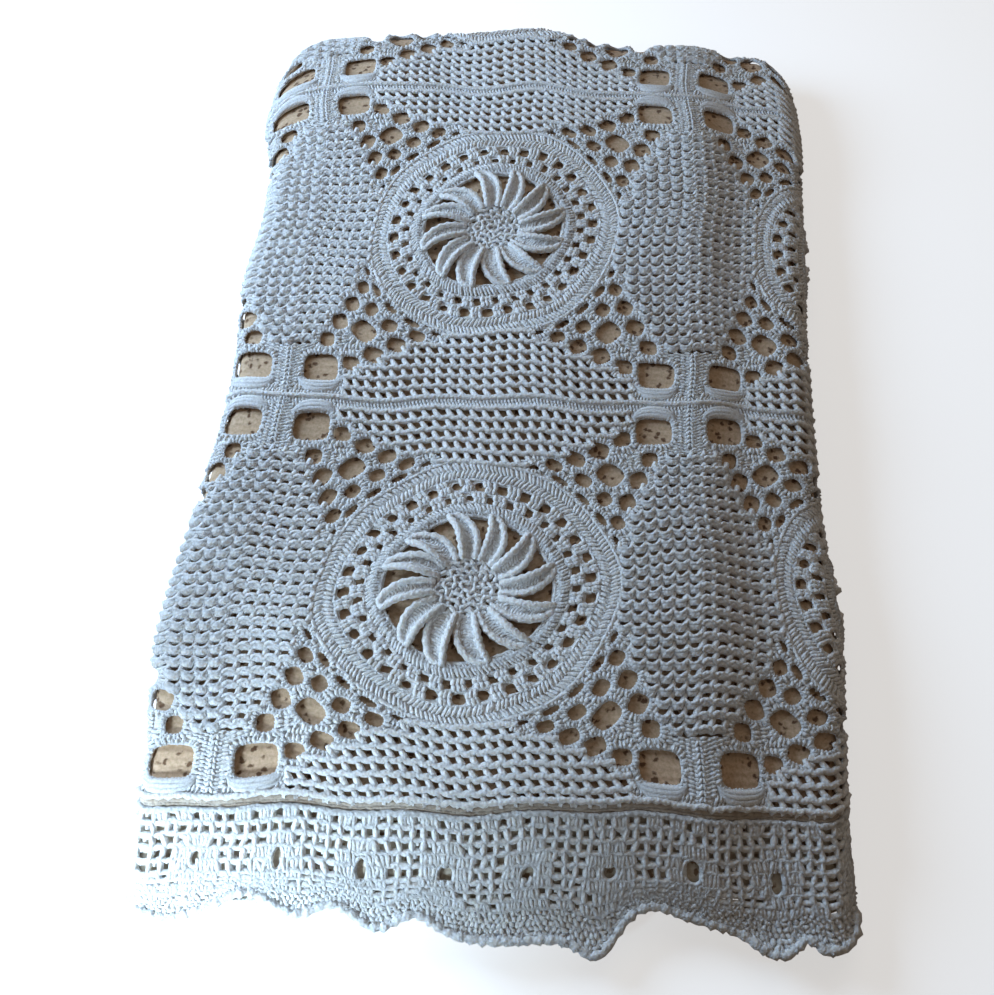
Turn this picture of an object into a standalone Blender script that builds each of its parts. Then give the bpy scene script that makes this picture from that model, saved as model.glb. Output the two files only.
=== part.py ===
# Folded crochet bedspread: squares joined into one cloth, with a scalloped lace edging all round.
# The spread is 5 x 9 squares. It is folded in half and in half again along its length (four plies),
# and then twice more across its width (four stacks of four plies), and it lies flat on a surface.
#
# Two sheets, the joined squares and the lace edging, are modelled flat and then folded together.
# On the flat cloth, a runs across the spread, b runs along it, and c is the height over its mid-plane.
# Folded, +X is to the right, +Y runs from the near edge to the far fold, and +Z is up.

import bisect
import math

import bmesh
import bpy

# ---- the flat spread, in metres ----
SQUARE = 0.270            # side of one crochet square
SQUARES_ACROSS = 5
SQUARES_ALONG = 9
EDGING = 0.078            # depth of the lace edging, to its deepest tip
CLOTH = 0.0020            # thickness of the crochet
SEAM_GAP = 0.0006         # between the squares and the edging, about half of that where folds draw it up
WIDTH = SQUARES_ACROSS * SQUARE + 2 * EDGING
LENGTH = SQUARES_ALONG * SQUARE + 2 * EDGING

# ---- the folds ----
PLY = 0.0030              # from one ply to the next, so plies lie a little apart
STACK = 0.0130            # from one stack of four plies to the next
LEFT_FOLD_X = -0.186      # where the left folds start to turn
RIGHT_FOLD_X = 0.1825     # where the right fold starts to turn
LEFT_JOINT_X = -0.156     # the left joint between squares on the top stack
NEAR_TIP_Y = -0.3445      # deepest tip of the near edging on the top ply
NEAR_FOLD_Y = -0.295      # near fold of the two lower plies
FAR_FOLD_Y = 0.330        # far fold between the top and the lowest ply
INNER_FOLD_Y = 0.325      # far fold of the two inner plies
HALF_TURN = math.pi

# ---- big corner holes of the squares on the top ply: nearest and farthest edge from a joint ----
HOLE_ACROSS = (0.012, 0.034)
HOLE_ALONG = (0.011, 0.030)
HOLED_JOINTS_ACROSS = (1, 2)      # joints that lie on the top stack, counted from the inner free edge
HOLED_JOINTS_ALONG = (0, 1, 2)    # joints that lie on the top ply; 0 is the seam with the edging

# ---- how the bundle has settled: one row for each place along it ----
# y: place on the even bundle; left, right: where its sides lie there; height: share of its full height;
# shift: how far the rows of squares have slipped along the bundle
SETTLE_ALONG = (
    {"y": -0.340, "left": -0.204, "right": 0.201, "height": 0.90, "shift": 0.0000},
    {"y": -0.262, "left": -0.202, "right": 0.198, "height": 0.94, "shift": 0.0000},
    {"y": -0.165, "left": -0.210, "right": 0.204, "height": 1.00, "shift": -0.0050},
    {"y": -0.080, "left": -0.204, "right": 0.200, "height": 0.97, "shift": -0.0100},
    {"y": 0.030, "left": -0.197, "right": 0.199, "height": 1.00, "shift": -0.0130},
    {"y": 0.095, "left": -0.203, "right": 0.202, "height": 0.98, "shift": -0.0100},
    {"y": 0.160, "left": -0.198, "right": 0.206, "height": 0.97, "shift": -0.0060},
    {"y": 0.205, "left": -0.200, "right": 0.208, "height": 0.98, "shift": -0.0030},
    {"y": 0.255, "left": -0.210, "right": 0.210, "height": 1.00, "shift": 0.0000},
    {"y": 0.340, "left": -0.211, "right": 0.209, "height": 0.90, "shift": 0.0030},
)
# one row for each place across it. x: place on the even bundle; height: share of its full height;
# far: how far the far fold has moved out there; droop: how far the near edging hangs at its tips
SETTLE_ACROSS = (
    {"x": -0.200, "height": 0.94, "far": -0.048, "droop": 0.024},
    {"x": -0.186, "height": 0.98, "far": -0.024, "droop": 0.024},
    {"x": -0.130, "height": 1.00, "far": -0.001, "droop": 0.022},
    {"x": -0.050, "height": 0.99, "far": 0.008, "droop": 0.025},
    {"x": 0.000, "height": 1.00, "far": 0.010, "droop": 0.028},
    {"x": 0.050, "height": 0.99, "far": -0.006, "droop": 0.029},
    {"x": 0.115, "height": 0.98, "far": -0.004, "droop": 0.029},
    {"x": 0.155, "height": 0.96, "far": -0.005, "droop": 0.019},
    {"x": 0.1825, "height": 0.93, "far": -0.013, "droop": 0.014},
    {"x": 0.201, "height": 0.90, "far": -0.040, "droop": 0.011},
)
FAR_PULL_Y = 0.160        # the far fold's movement dies out here
SLANT = 0.040             # the rows of squares rise to the right by this much for each metre
NEAR_RECEDE = 0.050       # at the near end the lowest ply stands back this far behind the top one
NEAR_RECEDE_Y = -0.165    # where that starts
DROOP_Y = (-0.262, -0.328)  # where the near edging starts to hang, and where it hangs the whole droop
DROOP_Z = (0.005, 0.044)    # heights where the cloth hangs not at all, and by the whole droop
# right of the short stack's free edge, the top stack sinks into the room that it leaves
SINK = 0.009
SINK_X = (0.115, 0.155)   # where the top stack starts to sink, and where it is all the way down
SINK_Z = (0.022, 0.042)   # heights over the third stack and under the top one

# ---- the scalloped near edge on the top stack. x: place on the bundle; inset: from the deepest tip ----
NEAR_SCALLOPS = (
    {"x": -0.184, "inset": 0.022},
    {"x": -0.172, "inset": 0.017},
    {"x": -0.152, "inset": 0.021},
    {"x": -0.130, "inset": 0.031},
    {"x": -0.101, "inset": 0.019},
    {"x": -0.082, "inset": 0.026},
    {"x": -0.058, "inset": 0.017},
    {"x": -0.039, "inset": 0.023},
    {"x": -0.017, "inset": 0.013},
    {"x": 0.015, "inset": 0.009},
    {"x": 0.046, "inset": 0.006},
    {"x": 0.059, "inset": 0.001},
    {"x": 0.078, "inset": 0.024},
    {"x": 0.112, "inset": 0.023},
    {"x": 0.134, "inset": 0.019},
    {"x": 0.164, "inset": 0.006},
    {"x": 0.172, "inset": 0.012},
    {"x": 0.181, "inset": 0.006},
)
PLAIN_INSET = 0.006       # inset of the other outer edges, whose scallops are left plain

SCALLOP_ROW = 0.040       # depth of the scalloped rows on the edging
ARC_STEPS_WIDE = 5        # facets round the wide fold on the right
ARC_STEPS_LEFT = 4        # facets round each left fold
ARC_STEPS_FAR = 4         # facets round the outer far fold
ARC_STEPS_INNER = 3       # facets round the other folds of the plies

ORIGIN_X = 0.0001         # plan centre of the settled bundle, which is moved to the origin
ORIGIN_Y = 0.0034

CLOTH_COLOUR = (0.80, 0.79, 0.76, 1.0)
EDGING_COLOUR = (0.84, 0.84, 0.82, 1.0)
COTTON_ROUGHNESS = 0.9


class FoldPath:
    """A path of straight runs and half turns. It turns a distance along the cloth and an offset
    from it, to the left of the way the path heads, into a point of its plane."""

    def __init__(self, start, heading, runs):
        self.rows = []
        distance = 0.0
        for run in runs:
            self.rows.append({"from": distance, "at": start, "heading": heading, **run})
            distance += run["length"]
            start = self.end_of(self.rows[-1])
            heading += run["turn"]
        self.length = distance

    def end_of(self, row):
        return self.on_row(row, row["length"], 0.0)

    def on_row(self, row, distance, offset):
        x, y = row["at"]
        heading = row["heading"]
        if not row["turn"]:
            x += distance * math.cos(heading) - offset * math.sin(heading)
            y += distance * math.sin(heading) + offset * math.cos(heading)
            return x, y
        side = math.copysign(1.0, row["turn"])
        radius = row["length"] / abs(row["turn"])
        centre_x = x - side * radius * math.sin(heading)
        centre_y = y + side * radius * math.cos(heading)
        now = heading + side * distance / radius
        out = radius - side * offset
        return centre_x + side * out * math.sin(now), centre_y - side * out * math.cos(now)

    def point(self, distance, offset):
        row = self.rows[0]
        for later in self.rows[1:]:
            if distance >= later["from"]:
                row = later
        return self.on_row(row, distance - row["from"], offset)

    def stations(self, knots, arc_steps):
        """Distances where the cloth gets a line of points: the ends of each run, the facets of each
        turn, and where a straight run passes one of the knots, which are places along its plane."""
        found = [0.0, self.length]
        for row, steps in zip(self.rows, arc_steps):
            if row["turn"]:
                found += [row["from"] + row["length"] * i / steps for i in range(steps + 1)]
                continue
            way = math.cos(row["heading"])
            reach = [(knot - row["at"][0]) / way for knot in knots]
            found += [row["from"] + d for d in reach if 0 < d < row["length"]]
        return found


def straight(length):
    return {"length": length, "turn": 0.0}


def half_turn(radius, way):
    """A fold: way is 1 where the cloth turns to its left, and -1 to its right."""
    return {"length": HALF_TURN * radius, "turn": way * HALF_TURN}


def across_path():
    """The way across the folded spread, from the free edge inside the bundle: the stack under the
    top one, the top stack, the third one and the lowest one."""
    lowest = 1.5 * PLY + CLOTH / 2
    panel = RIGHT_FOLD_X - LEFT_FOLD_X
    left_fold = half_turn(STACK / 2, -1)
    first = EDGING + SQUARE - (LEFT_JOINT_X - LEFT_FOLD_X) - left_fold["length"]
    runs = [straight(first), left_fold, straight(panel), half_turn(STACK, -1), straight(panel),
            half_turn(STACK / 2, 1)]
    runs.append(straight(WIDTH - sum(run["length"] for run in runs)))
    return FoldPath((LEFT_FOLD_X + first, lowest + 2 * STACK), math.pi, runs)


def along_path():
    """The way along the folded spread, from the near edging: top ply, lowest ply, and the two
    inner plies."""
    runs = [straight(FAR_FOLD_Y - NEAR_TIP_Y), half_turn(1.5 * PLY, -1),
            straight(FAR_FOLD_Y - NEAR_FOLD_Y), half_turn(0.5 * PLY, -1),
            straight(INNER_FOLD_Y - NEAR_FOLD_Y), half_turn(0.5 * PLY, 1)]
    runs.append(straight(LENGTH - sum(run["length"] for run in runs)))
    return FoldPath((NEAR_TIP_Y, 1.5 * PLY), 0.0, runs)


ACROSS = across_path()
ALONG = along_path()
FULL_HEIGHT = 3 * STACK + 3 * PLY + CLOTH


def read_table(rows, key, column, place):
    """The column's value at a place, on straight lines between the rows."""
    places = [row[key] for row in rows]
    i = min(max(bisect.bisect_right(places, place), 1), len(rows) - 1)
    share = (place - places[i - 1]) / (places[i] - places[i - 1])
    return rows[i - 1][column] * (1 - share) + rows[i][column] * share


def ramp(value, low, high):
    return min(max((value - low) / (high - low), 0.0), 1.0)


def settle(x, y, z):
    """Where a point of the evenly folded bundle lies once the cloth has settled."""
    tip_y = SETTLE_ALONG[0]["y"]
    recede = NEAR_RECEDE * (1 - z / FULL_HEIGHT) * ramp(-y, -NEAR_RECEDE_Y, -tip_y)
    y += recede
    evenly_left = SETTLE_ACROSS[0]["x"]
    evenly_right = SETTLE_ACROSS[-1]["x"]
    left = read_table(SETTLE_ALONG, "y", "left", y)
    right = read_table(SETTLE_ALONG, "y", "right", y)
    share = (x - evenly_left) / (evenly_right - evenly_left)
    pull = max(0.0, (y - FAR_PULL_Y) / (SETTLE_ALONG[-1]["y"] - FAR_PULL_Y))
    far = read_table(SETTLE_ACROSS, "x", "far", x) * pull
    height = read_table(SETTLE_ACROSS, "x", "height", x) * read_table(SETTLE_ALONG, "y", "height", y)
    shift = read_table(SETTLE_ALONG, "y", "shift", y)
    settled_x = left + share * (right - left)
    settled_y = y + shift + far + SLANT * settled_x
    droop = read_table(SETTLE_ACROSS, "x", "droop", x) * ramp(y, *DROOP_Y) * ramp(z, *DROOP_Z)
    sunk = z - SINK * ramp(x, *SINK_X) * ramp(z, *SINK_Z)
    return settled_x - ORIGIN_X, settled_y - ORIGIN_Y, sunk * height - droop


def fold(a, b, c):
    """A point of the flat cloth on the folded and settled bundle."""
    y, offset = ALONG.point(b, c)
    x, z = ACROSS.point(a, offset)
    return settle(x, y, z)


def tidy_stations(stations, fixed, apart=0.002):
    """The fixed stations, and those between them that lie clear of the ones already kept."""
    kept = list(fixed)
    for station in sorted(stations):
        if fixed[0] < station < fixed[-1] and min(abs(station - other) for other in kept) > apart:
            kept.append(station)
    return sorted(kept)


def hole_lines(joints, reach):
    near, far = reach
    lines = []
    for joint in joints:
        middle = EDGING + joint * SQUARE
        lines += [middle - far, middle - near, middle + near, middle + far]
    return lines


def inside(lines, start, end):
    return sorted(line for line in lines if start <= line <= end)


def in_hole(place, joints, reach):
    near, far = reach
    return any(near < abs(place - EDGING - joint * SQUARE) < far for joint in joints)


def flat_grid(across, along):
    """A flat grid of faces with its lines at the stations given."""
    grid = bmesh.new()
    bmesh.ops.create_grid(grid, x_segments=len(across) - 1, y_segments=len(along) - 1, size=0.5)
    for vert in grid.verts:
        vert.co.x = across[round((vert.co.x + 0.5) * (len(across) - 1))]
        vert.co.y = along[round((vert.co.y + 0.5) * (len(along) - 1))]
    return grid


def drop_faces(grid, unwanted):
    faces = [face for face in grid.faces if unwanted(face.calc_center_median())]
    bmesh.ops.delete(grid, geom=faces, context="FACES")


def folded_sheet(name, grid, colour):
    """Gives the flat faces the cloth's thickness, folds them, and makes them an object."""
    for vert in grid.verts:
        vert.co.z = -CLOTH / 2
    top = bmesh.ops.extrude_face_region(grid, geom=grid.faces[:], use_keep_orig=True)["geom"]
    for vert in [item for item in top if isinstance(item, bmesh.types.BMVert)]:
        vert.co.z = CLOTH / 2
    for vert in grid.verts:
        vert.co = fold(*vert.co)
    bmesh.ops.recalc_face_normals(grid, faces=grid.faces[:])
    mesh = bpy.data.meshes.new(name)
    grid.to_mesh(mesh)
    grid.free()
    mesh.materials.append(cotton(name, colour))
    mesh.shade_smooth()
    mesh.set_sharp_from_angle(angle=math.radians(50))
    sheet = bpy.data.objects.new(name, mesh)
    collection.objects.link(sheet)
    return sheet


def cotton(name, colour):
    material = bpy.data.materials.new(name + "_cotton")
    material.use_nodes = True
    shader = material.node_tree.nodes["Principled BSDF"]
    shader.inputs["Base Color"].default_value = colour
    shader.inputs["Roughness"].default_value = COTTON_ROUGHNESS
    shader.inputs["Metallic"].default_value = 0.0
    return material


def across_stations():
    knots = [row["x"] for row in SETTLE_ACROSS[2:-2]]
    wide = ARC_STEPS_WIDE
    left = ARC_STEPS_LEFT
    return ACROSS.stations(knots, (0, left, 0, wide, 0, left, 0))


def along_stations():
    knots = [row["y"] for row in SETTLE_ALONG[1:-1]]
    far = ARC_STEPS_FAR
    inner = ARC_STEPS_INNER
    return ALONG.stations(knots, (0, far, 0, inner, 0, inner, 0))


def joined_squares():
    seam = EDGING + SEAM_GAP / 2
    across_lines = [seam, WIDTH - seam] + hole_lines(HOLED_JOINTS_ACROSS, HOLE_ACROSS)
    along_lines = [seam, LENGTH - seam] + hole_lines(HOLED_JOINTS_ALONG, HOLE_ALONG)
    grid = flat_grid(
        tidy_stations(across_stations(), inside(across_lines, seam, WIDTH - seam)),
        tidy_stations(along_stations(), inside(along_lines, seam, LENGTH - seam)),
    )
    drop_faces(grid, lambda at: in_hole(at.x, HOLED_JOINTS_ACROSS, HOLE_ACROSS)
               and in_hole(at.y, HOLED_JOINTS_ALONG, HOLE_ALONG))
    folded_sheet("joined_squares", grid, CLOTH_COLOUR)


def near_inset(a):
    """How far the scalloped edge stands back from its deepest tip, at a place across the cloth."""
    left_fold, top_stack, right_fold, third_stack = ACROSS.rows[1:5]
    if not left_fold["from"] <= a <= third_stack["from"]:
        return PLAIN_INSET
    x = LEFT_FOLD_X + min(max(a, top_stack["from"]), right_fold["from"]) - top_stack["from"]
    x = min(max(x, NEAR_SCALLOPS[0]["x"]), NEAR_SCALLOPS[-1]["x"])
    return read_table(NEAR_SCALLOPS, "x", "inset", x)


def lace_edging():
    seam = EDGING - SEAM_GAP / 2
    top_start = ACROSS.rows[2]["from"] - LEFT_FOLD_X
    scallops = [top_start + row["x"] for row in NEAR_SCALLOPS]
    across = tidy_stations(across_stations() + scallops, [0.0, seam, WIDTH - seam, WIDTH])
    along = tidy_stations(along_stations() + [SCALLOP_ROW], [0.0, seam, LENGTH - seam, LENGTH])
    grid = flat_grid(across, along)
    drop_faces(grid, lambda at: seam < at.x < WIDTH - seam and seam < at.y < LENGTH - seam)
    for vert in grid.verts:
        if vert.co.y < SCALLOP_ROW / 2:
            vert.co.y = near_inset(vert.co.x)
        vert.co.y = min(vert.co.y, LENGTH - PLAIN_INSET)
        vert.co.x = min(max(vert.co.x, PLAIN_INSET), WIDTH - PLAIN_INSET)
    folded_sheet("lace_edging", grid, EDGING_COLOUR)


for old in list(bpy.data.objects):
    bpy.data.objects.remove(old, do_unlink=True)
collection = bpy.data.collections.new("crochet_bedspread")
bpy.context.scene.collection.children.link(collection)
joined_squares()
lace_edging()
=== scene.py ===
import math

import bmesh
import bpy
import numpy as np
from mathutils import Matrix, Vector


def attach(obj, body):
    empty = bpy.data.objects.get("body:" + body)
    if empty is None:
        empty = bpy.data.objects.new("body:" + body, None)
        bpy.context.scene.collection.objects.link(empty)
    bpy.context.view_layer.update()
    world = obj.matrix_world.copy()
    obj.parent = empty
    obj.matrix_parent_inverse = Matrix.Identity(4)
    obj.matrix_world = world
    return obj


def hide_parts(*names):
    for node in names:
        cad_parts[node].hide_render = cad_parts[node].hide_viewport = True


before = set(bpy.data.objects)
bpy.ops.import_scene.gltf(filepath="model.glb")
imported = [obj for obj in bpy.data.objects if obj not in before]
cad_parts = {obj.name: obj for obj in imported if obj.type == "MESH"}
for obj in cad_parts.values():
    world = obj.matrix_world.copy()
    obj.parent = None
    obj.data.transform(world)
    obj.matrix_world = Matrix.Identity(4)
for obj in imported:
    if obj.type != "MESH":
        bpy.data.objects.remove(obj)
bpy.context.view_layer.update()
print("frame loaded")


def table(columns, *rows):
    # a short table: each row becomes a dictionary under the columns' names
    return [dict(zip(columns.split(), row)) for row in rows]


# the spread and its folds, in metres; the same sizes as the solids have
spread = {
    "square": 0.270, "squaresAcross": 5, "squaresAlong": 9, "edging": 0.078,
    "ply": 0.0030, "stack": 0.0130, "cloth": 0.0020,
    "leftFoldX": -0.186, "rightFoldX": 0.1825, "leftJointX": -0.156,
    "nearTipY": -0.3445, "nearFoldY": -0.295, "farFoldY": 0.330, "innerFoldY": 0.325,
    "farPullY": 0.160, "slant": 0.040, "nearRecede": 0.050, "nearRecedeY": -0.165,
    "droopY": -0.262, "droopEndY": -0.328, "droopLow": 0.005, "droopHigh": 0.044,
    "sink": 0.009, "sinkLeft": 0.115, "sinkRight": 0.155, "sinkLow": 0.022, "sinkHigh": 0.042,
    "originX": 0.0001, "originY": 0.0034, "scallopRow": 0.040, "plainInset": 0.006,
    "swell": 0.0010, "floorRoom": 0.0003, "strandRoom": 0.0002,
}
spread["width"] = spread["squaresAcross"] * spread["square"] + 2 * spread["edging"]
spread["length"] = spread["squaresAlong"] * spread["square"] + 2 * spread["edging"]
spread["height"] = 3 * spread["stack"] + 3 * spread["ply"] + spread["cloth"]
everyColumn = range(spread["squaresAcross"])

# y: place along the even bundle; left, right: its sides there; height: share; shift: slip along it
settleAlong = table(
    "y left right height shift",
    (-0.340, -0.204, 0.201, 0.90, 0.0), (-0.262, -0.202, 0.198, 0.94, 0.0),
    (-0.165, -0.210, 0.204, 1.00, -0.005), (-0.080, -0.204, 0.200, 0.97, -0.010),
    (0.030, -0.197, 0.199, 1.00, -0.013), (0.095, -0.203, 0.202, 0.98, -0.010),
    (0.160, -0.198, 0.206, 0.97, -0.006), (0.205, -0.200, 0.208, 0.98, -0.003),
    (0.255, -0.210, 0.210, 1.00, 0.0), (0.340, -0.211, 0.209, 0.90, 0.003),
)
# x: place across it; far: how far the far fold moves out; droop: how far the near edging hangs
settleAcross = table(
    "x height far droop",
    (-0.200, 0.94, -0.048, 0.024), (-0.186, 0.98, -0.024, 0.024), (-0.130, 1.00, -0.001, 0.022),
    (-0.050, 0.99, 0.008, 0.025), (0.000, 1.00, 0.010, 0.028), (0.050, 0.99, -0.006, 0.029),
    (0.115, 0.98, -0.004, 0.029), (0.155, 0.96, -0.005, 0.019), (0.1825, 0.93, -0.013, 0.014),
    (0.201, 0.90, -0.040, 0.011),
)
# the scalloped near edge on the top stack: inset is measured from the deepest tip
nearScallops = table(
    "x inset",
    (-0.184, 0.022), (-0.172, 0.017), (-0.152, 0.021), (-0.130, 0.031), (-0.101, 0.019), (-0.082, 0.026),
    (-0.058, 0.017), (-0.039, 0.023), (-0.017, 0.013), (0.015, 0.009), (0.046, 0.006), (0.059, 0.001),
    (0.078, 0.024), (0.112, 0.023), (0.134, 0.019), (0.164, 0.006), (0.172, 0.012), (0.181, 0.006),
)
# soft rises and hollows of the top cloth: place, half sizes and height
softRises = table("x y wide long height", (-0.004, 0.335, 0.040, 0.030, 0.0060),
                  (0.045, 0.300, 0.030, 0.020, -0.0030))
# waves, in radians for each metre: in the upper layers' height, and in the lines across and along
swells = table("x y start height", (31, 17, 1.0, 1.0), (-41, 23, 2.2, 1.0), (67, 52, 0.0, 0.6))
acrossWaves = table("x y start height", (9, 39, 0.0, 0.0015), (-31, 88, 0.0, 0.0008))
alongWaves = table("x y start height", (36, -11, 0.8, 0.0016), (95, 27, 0.0, 0.0010))


def onRun(run, distance, offset):
    x, y = run["at"]
    heading = run["heading"]
    if not run["turn"]:
        return (x + distance * math.cos(heading) - offset * math.sin(heading),
                y + distance * math.sin(heading) + offset * math.cos(heading))
    side = math.copysign(1.0, run["turn"])
    radius = run["length"] / abs(run["turn"])
    now = heading + side * distance / radius
    out = radius - side * offset
    return (x - side * radius * math.sin(heading) + side * out * np.sin(now),
            y + side * radius * math.cos(heading) - side * out * np.cos(now))


def makePath(start, heading, total, runs):
    # runs: (length, turn); the last one takes what is left of the total
    path = []
    distance = 0.0
    for length, turn in runs + [(total - sum(run[0] for run in runs), 0.0)]:
        path.append({"from": distance, "at": start, "heading": heading, "length": length, "turn": turn})
        start = tuple(float(value) for value in onRun(path[-1], length, 0.0))
        heading += turn
        distance += length
    return path


def halfTurn(radius, way):
    return (math.pi * radius, way * math.pi)


def acrossPath():
    lowest = 1.5 * spread["ply"] + spread["cloth"] / 2
    panel = spread["rightFoldX"] - spread["leftFoldX"]
    leftFold = halfTurn(spread["stack"] / 2, -1)
    first = (spread["edging"] + spread["square"] - (spread["leftJointX"] - spread["leftFoldX"])
             - leftFold[0])
    runs = [(first, 0.0), leftFold, (panel, 0.0), halfTurn(spread["stack"], -1), (panel, 0.0),
            halfTurn(spread["stack"] / 2, 1)]
    start = (spread["leftFoldX"] + first, lowest + 2 * spread["stack"])
    return makePath(start, math.pi, spread["width"], runs)


def alongPath():
    ply = spread["ply"]
    runs = [(spread["farFoldY"] - spread["nearTipY"], 0.0), halfTurn(1.5 * ply, -1),
            (spread["farFoldY"] - spread["nearFoldY"], 0.0), halfTurn(0.5 * ply, -1),
            (spread["innerFoldY"] - spread["nearFoldY"], 0.0), halfTurn(0.5 * ply, 1)]
    return makePath((spread["nearTipY"], 1.5 * ply), 0.0, spread["length"], runs)


acrossRuns = acrossPath()
alongRuns = alongPath()


def pathPoint(path, distance, offset):
    x = np.zeros_like(distance)
    y = np.zeros_like(distance)
    index = np.searchsorted([run["from"] for run in path[1:]], distance, side="right")
    for i, run in enumerate(path):
        here = index == i
        if here.any():
            x[here], y[here] = onRun(run, distance[here] - run["from"], offset[here])
    return x, y


def readTable(rows, key, column, place):
    # a smooth curve through the table's rows, straight on beyond its ends
    places = np.array([row[key] for row in rows])
    values = np.array([row[column] for row in rows])
    slopes = np.gradient(values, places)
    held = np.clip(place, places[0], places[-1])
    i = np.clip(np.searchsorted(places, held, side="right"), 1, len(places) - 1)
    step = places[i] - places[i - 1]
    t = (held - places[i - 1]) / step
    curve = ((2 * t**3 - 3 * t**2 + 1) * values[i - 1] + (t**3 - 2 * t**2 + t) * step * slopes[i - 1]
             + (3 * t**2 - 2 * t**3) * values[i] + (t**3 - t**2) * step * slopes[i])
    return curve + (place - held) * np.where(place > held, slopes[-1], slopes[0])


def ramp(value, low, high):
    return np.clip((value - low) / (high - low), 0.0, 1.0)


def ease(value, low, high):
    t = ramp(value, low, high)
    return t * t * (3 - 2 * t)


def waved(value, rows, x, y):
    for row in rows:
        value = value + row["height"] * np.sin(row["x"] * x + row["y"] * y + row["start"])
    return value


def settle(x, y, z):
    tipY = settleAlong[0]["y"]
    y = y + (spread["nearRecede"] * (1 - z / spread["height"])
             * ramp(-y, -spread["nearRecedeY"], -tipY))
    left = readTable(settleAlong, "y", "left", y)
    right = readTable(settleAlong, "y", "right", y)
    share = (x - settleAcross[0]["x"]) / (settleAcross[-1]["x"] - settleAcross[0]["x"])
    farEnd = settleAlong[-1]["y"]
    pull = np.maximum(0.0, (y - spread["farPullY"]) / (farEnd - spread["farPullY"]))
    far = readTable(settleAcross, "x", "far", x) * pull
    height = readTable(settleAcross, "x", "height", x) * readTable(settleAlong, "y", "height", y)
    settledX = left + share * (right - left)
    settledY = y + readTable(settleAlong, "y", "shift", y) + far + spread["slant"] * settledX
    droop = (readTable(settleAcross, "x", "droop", x) * ramp(-y, -spread["droopY"], -spread["droopEndY"])
             * ramp(z, spread["droopLow"], spread["droopHigh"]))
    sunk = z - (spread["sink"] * ease(x, spread["sinkLeft"], spread["sinkRight"])
                * ramp(z, spread["sinkLow"], spread["sinkHigh"]))
    settledZ = sunk * height - droop
    top = np.clip(settledZ / spread["height"], 0, 1) ** 2  # upper layers lie a little unevenly
    swell = spread["swell"] * waved(0.0, swells, settledX, settledY)
    for row in softRises:
        swell = swell + row["height"] * np.exp(-((settledX - row["x"]) / row["wide"]) ** 2
                                               - ((settledY - row["y"]) / row["long"]) ** 2)
    settledZ = settledZ + top * swell
    return np.stack([settledX - spread["originX"], settledY - spread["originY"], settledZ], axis=1)


def fold(flat):
    # flat: rows of (a across, b along, c over the cloth's middle), in metres
    a, b, c = flat[:, 0], flat[:, 1], flat[:, 2]
    a = waved(a, acrossWaves, a, b)
    b = waved(b, alongWaves, a, b)
    y, offset = pathPoint(alongRuns, b, c)
    x, z = pathPoint(acrossRuns, a, offset)
    return settle(x, y, z)


# where the strands show: the outer layer of the top stack, the far folds and the underside
shown = {
    "left": acrossRuns[1]["from"] - 0.010, "right": acrossRuns[4]["from"] + 0.012,
    "far": alongRuns[1]["from"], "farEnd": alongRuns[2]["from"],
    "under": acrossRuns[5]["from"] - 0.010, "underEnd": acrossRuns[6]["from"] + 0.010,
    "near": alongRuns[3]["from"] + 0.004, "farRoom": 0.010, "underLap": 0.004,
}


def onTop(a, b):
    return (a > shown["left"]) & (a < shown["right"]) & (b < shown["farEnd"])


def onFarFolds(a, b, room=shown["farRoom"]):
    return (b > shown["far"] - room) & (b < shown["farEnd"] + room)


def underneath(a, b):
    # the lowest left fold and the spread's underside
    return (a > shown["under"]) & (b >= shown["farEnd"]) & (b < shown["near"])


def inSquares(a, b):
    edge = spread["edging"]
    return (a > edge) & (a < spread["width"] - edge) & (b > edge) & (b < spread["length"] - edge)


# materials: cotton reads Object coordinates, the hidden layers read their own flat map
cotton = {"roughness": 1.0, "specular": 0.08, "sheen": 0.10, "sheenRoughness": 0.6,
          "softColour": (1.0, 0.85, 0.7), "softDepth": 0.0030}
yarnLook = {"soft": 0.45, "patchScale": 60.0, "darkTo": 0.34, "lightFrom": 0.60,
            "creaseShade": (0.70, 0.66, 0.62), "creaseStart": 0.36, "creaseEnd": 0.80, "creaseShare": 0.6,
            "knotBump": 0.8, "fibreBump": 0.4}
hiddenLook = {"soft": 0.2, "wander": 0.9, "darkTo": 0.35, "lightFrom": 0.62, "gapStart": 0.21,
              "gapEnd": 0.37, "gap": (0.92, 0.92, 0.92), "rowBump": 0.6, "rowHeight": 0.0005}
filetLook = {"soft": 0.3, "wander": 0.5, "post": 0.26, "postEdge": 0.25, "bump": 0.8,
             "knotHeight": 0.0008, "cellDepth": 0.0012}


def addNode(material, kind, **inputs):
    node = material.node_tree.nodes.new(kind)
    for name, value in inputs.items():
        node.inputs[name.replace("_", " ")].default_value = value
    return node


def addTexture(material, kind, place, **inputs):
    # place is the socket that lays the texture out
    node = addNode(material, kind, **inputs)
    material.node_tree.links.new(place, node.inputs["Vector"])
    return node


def addBump(material, height, strength, distance, under=None):
    bump = addNode(material, "ShaderNodeBump", Strength=strength, Distance=distance)
    material.node_tree.links.new(height, bump.inputs["Height"])
    if under is not None:
        material.node_tree.links.new(under.outputs["Normal"], bump.inputs["Normal"])
    return bump


def colourSteps(material, source, steps):
    # steps: (position, colour) from low to high
    scale = addNode(material, "ShaderNodeValToRGB")
    elements = scale.color_ramp.elements
    while len(elements) < len(steps):
        elements.new(0.5)
    for element, (position, colour) in zip(elements, steps):
        element.position = position
        element.color = (*colour, 1.0)
    material.node_tree.links.new(source, scale.inputs["Fac"])
    return scale.outputs["Color"]


def mixColours(material, factor=None):
    blend = addNode(material, "ShaderNodeMix")
    blend.data_type = "RGBA"
    if factor is not None:
        material.node_tree.links.new(factor, blend.inputs["Factor"])
    return blend


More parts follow.
